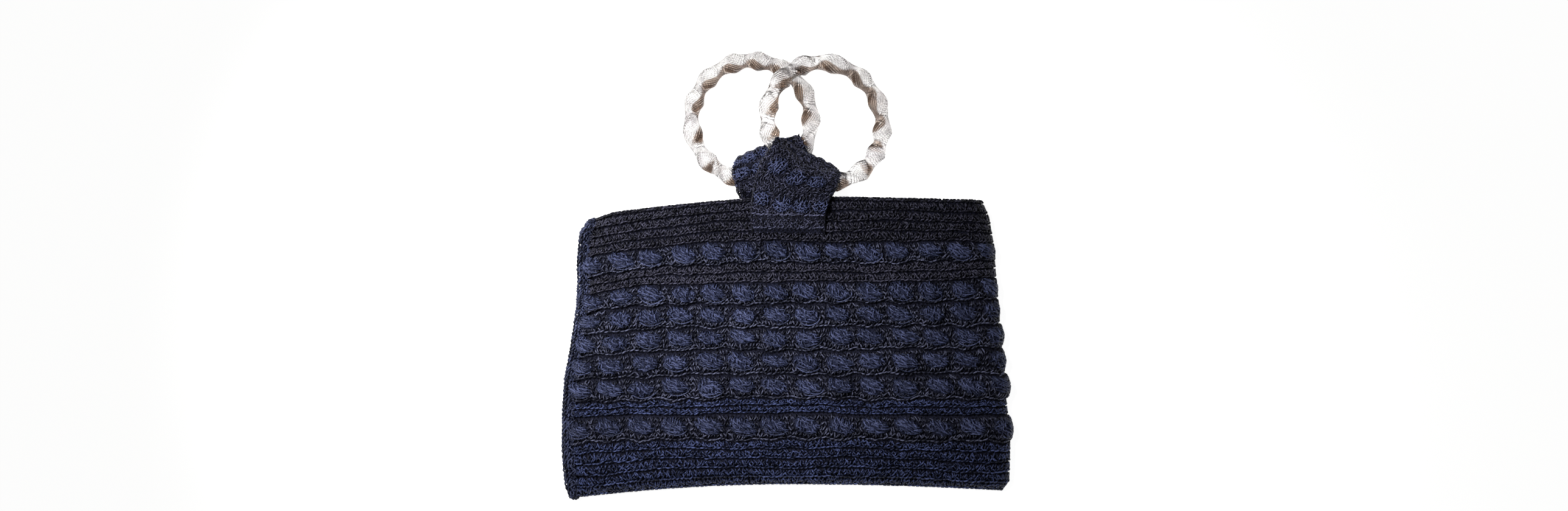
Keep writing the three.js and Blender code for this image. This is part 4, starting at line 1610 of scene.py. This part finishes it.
edgingSet = {
    "halfWidth": 2.6,
    "halfHeight": 6.4,
    "taper": 2.0,  # length of each rounded end
    "lean": 2.6,  # how far its upper end bends in round the corner
    "leanFrom": 0.94,
    "sink": 0.7,
    "around": 20,
    "along": 64,
    "stitches": 70,
    "lines": 11,
    "roundTall": 30.0,  # length round the band
    "span": (0.012, 0.988),  # of the band's length, under its lines of stitches
    "tint": 0.55,
    # stitches over each end: millimetres from the end and how many
    "endRounds": ((0.15, 5), (0.6, 10), (1.2, 14), (1.9, 16)),
    "endReach": 0.62,  # of a stitch
    "endStray": (0.2, 0.5),  # round the band and along it
    "endTint": 0.5,
    "seamFrom": 0.27,  # of the way round the band
    "seamWidth": 7.0,
    "seamSag": 0.8,
    "seamSpan": (0.005, 0.995),
    "seamTint": 0.46,
    "seamTangle": {"pitch": 2.0, "half": 1.7, "lean": 40.0, "spread": 34.0, "steps": 4, "sides": 4,
                   "curl": 0.5, "stray": 0.35, "lift": -0.4, "rise": 0.8, "radius": 0.62},
    "ridge": {"steps": 5, "sides": 4, "reach": 0.66, "slant": 0.9, "curl": 0.3, "stray": 0.35, "lift": -0.35,
              "rise": 1.1, "radius": 0.62},
}
edgingLength = mouthY - bottomY


def edgingSurface(a, b, sink=0.0):
    y = lerp(bottomY, mouthY, a)
    toEnd = np.clip(np.minimum(a, 1 - a), 0, 1) * edgingLength
    size = crown(toEnd, edgingSet["taper"])
    angle = 2 * np.pi * b
    bend = np.clip((a - edgingSet["leanFrom"]) / (1 - edgingSet["leanFrom"]), 0, 1) ** 2
    middle = outlineAt(y, 1) + edgingSet["halfWidth"] + edgingSet["lean"] * bend
    x = middle - (edgingSet["halfWidth"] - sink) * size * np.cos(angle)
    z = pouch["seamHeight"] + (edgingSet["halfHeight"] - sink) * size * np.sin(angle)
    return np.stack(np.broadcast_arrays(x, y - outlineAt(y, 3), z), -1)


def seamSurface(a, b):
    # from the band's top across to the pouch, where stitches hold the two together
    a, b = np.broadcast_arrays(a, b)
    reach = edgingSet["seamWidth"] / frontLength
    band = edgingSurface(a, edgingSet["seamFrom"])
    face = pouchSurface(np.full(a.shape, reach), lerp(bottomY, mouthY, a))
    spot = lerp(band, face, b[..., None])
    spot[..., 2] -= edgingSet["seamSag"] * np.sin(np.pi * b)
    return spot


def edgingEnd(cloth, end):
    # rounds of short strands that close one end of the band
    made = []
    strayRound, strayAlong = edgingSet["endStray"]
    for inset, count in edgingSet["endRounds"]:
        a = np.full(count, abs(end - inset / edgingLength))
        b = (np.arange(count) + 0.5 + stray(strayRound, count)) / count
        halfA = stray(strayAlong, count)
        halfB = np.full(count, edgingSet["endReach"] * cloth["tall"] / count)
        made.append(dashes(cloth, a, b, halfA, halfB, edgingSet["ridge"], edgingSet["endTint"]))
    return made


def buildEdging():
    def place(column, level):
        return edgingSurface(level / edgingSet["along"], column / edgingSet["around"], edgingSet["sink"])

    core = foldGrid("left_edging_core", edgingSet["around"], edgingSet["along"], place)
    finishPiece(core, shadedKnitWall, "edging", "bag", trianglesOf(core), "left_edging")
    cloth = makeCloth(edgingSurface, edgingLength, edgingSet["roundTall"], -1)
    made = []
    for line in range(edgingSet["lines"]):
        around = (line + 0.5) / edgingSet["lines"]
        made.append(ridge(cloth, around, edgingSet["stitches"], edgingSet["ridge"], edgingSet["span"],
                          edgingSet["tint"]))
    for end in (0, 1):
        made.extend(edgingEnd(cloth, end))
    strandPiece("left_edging_stitches", made, yarnOf["edgingYarn"], "edging")
    seam = makeCloth(seamSurface, edgingLength, edgingSet["seamWidth"], -1)
    joined = tangle(seam, edgingSet["seamSpan"], (0.0, 1.0), edgingSet["seamTangle"], edgingSet["seamTint"])
    strandPiece("left_seam_stitches", [joined], yarnOf["edgingYarn"], "edging")


buildEdging()


# rim: lines of stitches over the mouth's edge, front and back

rimSet = {
    "lines": (0.06, 0.36, 0.66, 0.94),  # of the way over the edge
    "over": 1.4,  # how far the rim stands up
    "tall": 6.0,  # length over the edge
    "tint": 0.5,
    "ridge": {"steps": 4, "sides": 4, "reach": 0.64, "slant": 0.4, "curl": 0.3, "stray": 0.2, "lift": -0.5,
              "rise": 1.1, "radius": 0.6},
}


def rimSurface(s, turn):
    s = offSeam(s)
    level = np.full(np.broadcast(s, turn).shape, mouthY)
    outside = pouchSurface(s, level)
    inside = wallAt(fractionAt(s), level, s <= 1, pouch["wall"])
    angle = np.pi * np.broadcast_to(turn, level.shape)[..., None]
    spot = lerp(outside, inside, 0.5 - 0.5 * np.cos(angle))
    spot[..., 1] += rimSet["over"] * np.sin(angle[..., 0])
    return spot


rimCloth = makeCloth(rimSurface, frontLength, rimSet["tall"])
rimLines = [ridge(rimCloth, turn, 2 * stitchSet["across"], rimSet["ridge"], (0.0, 2.0), rimSet["tint"])
            for turn in rimSet["lines"]]
strandPiece("mouth_rim", rimLines, yarnOf["upperRowsYarn"], "crochet")


# sizes

print("triangles in all:", totalTriangles)
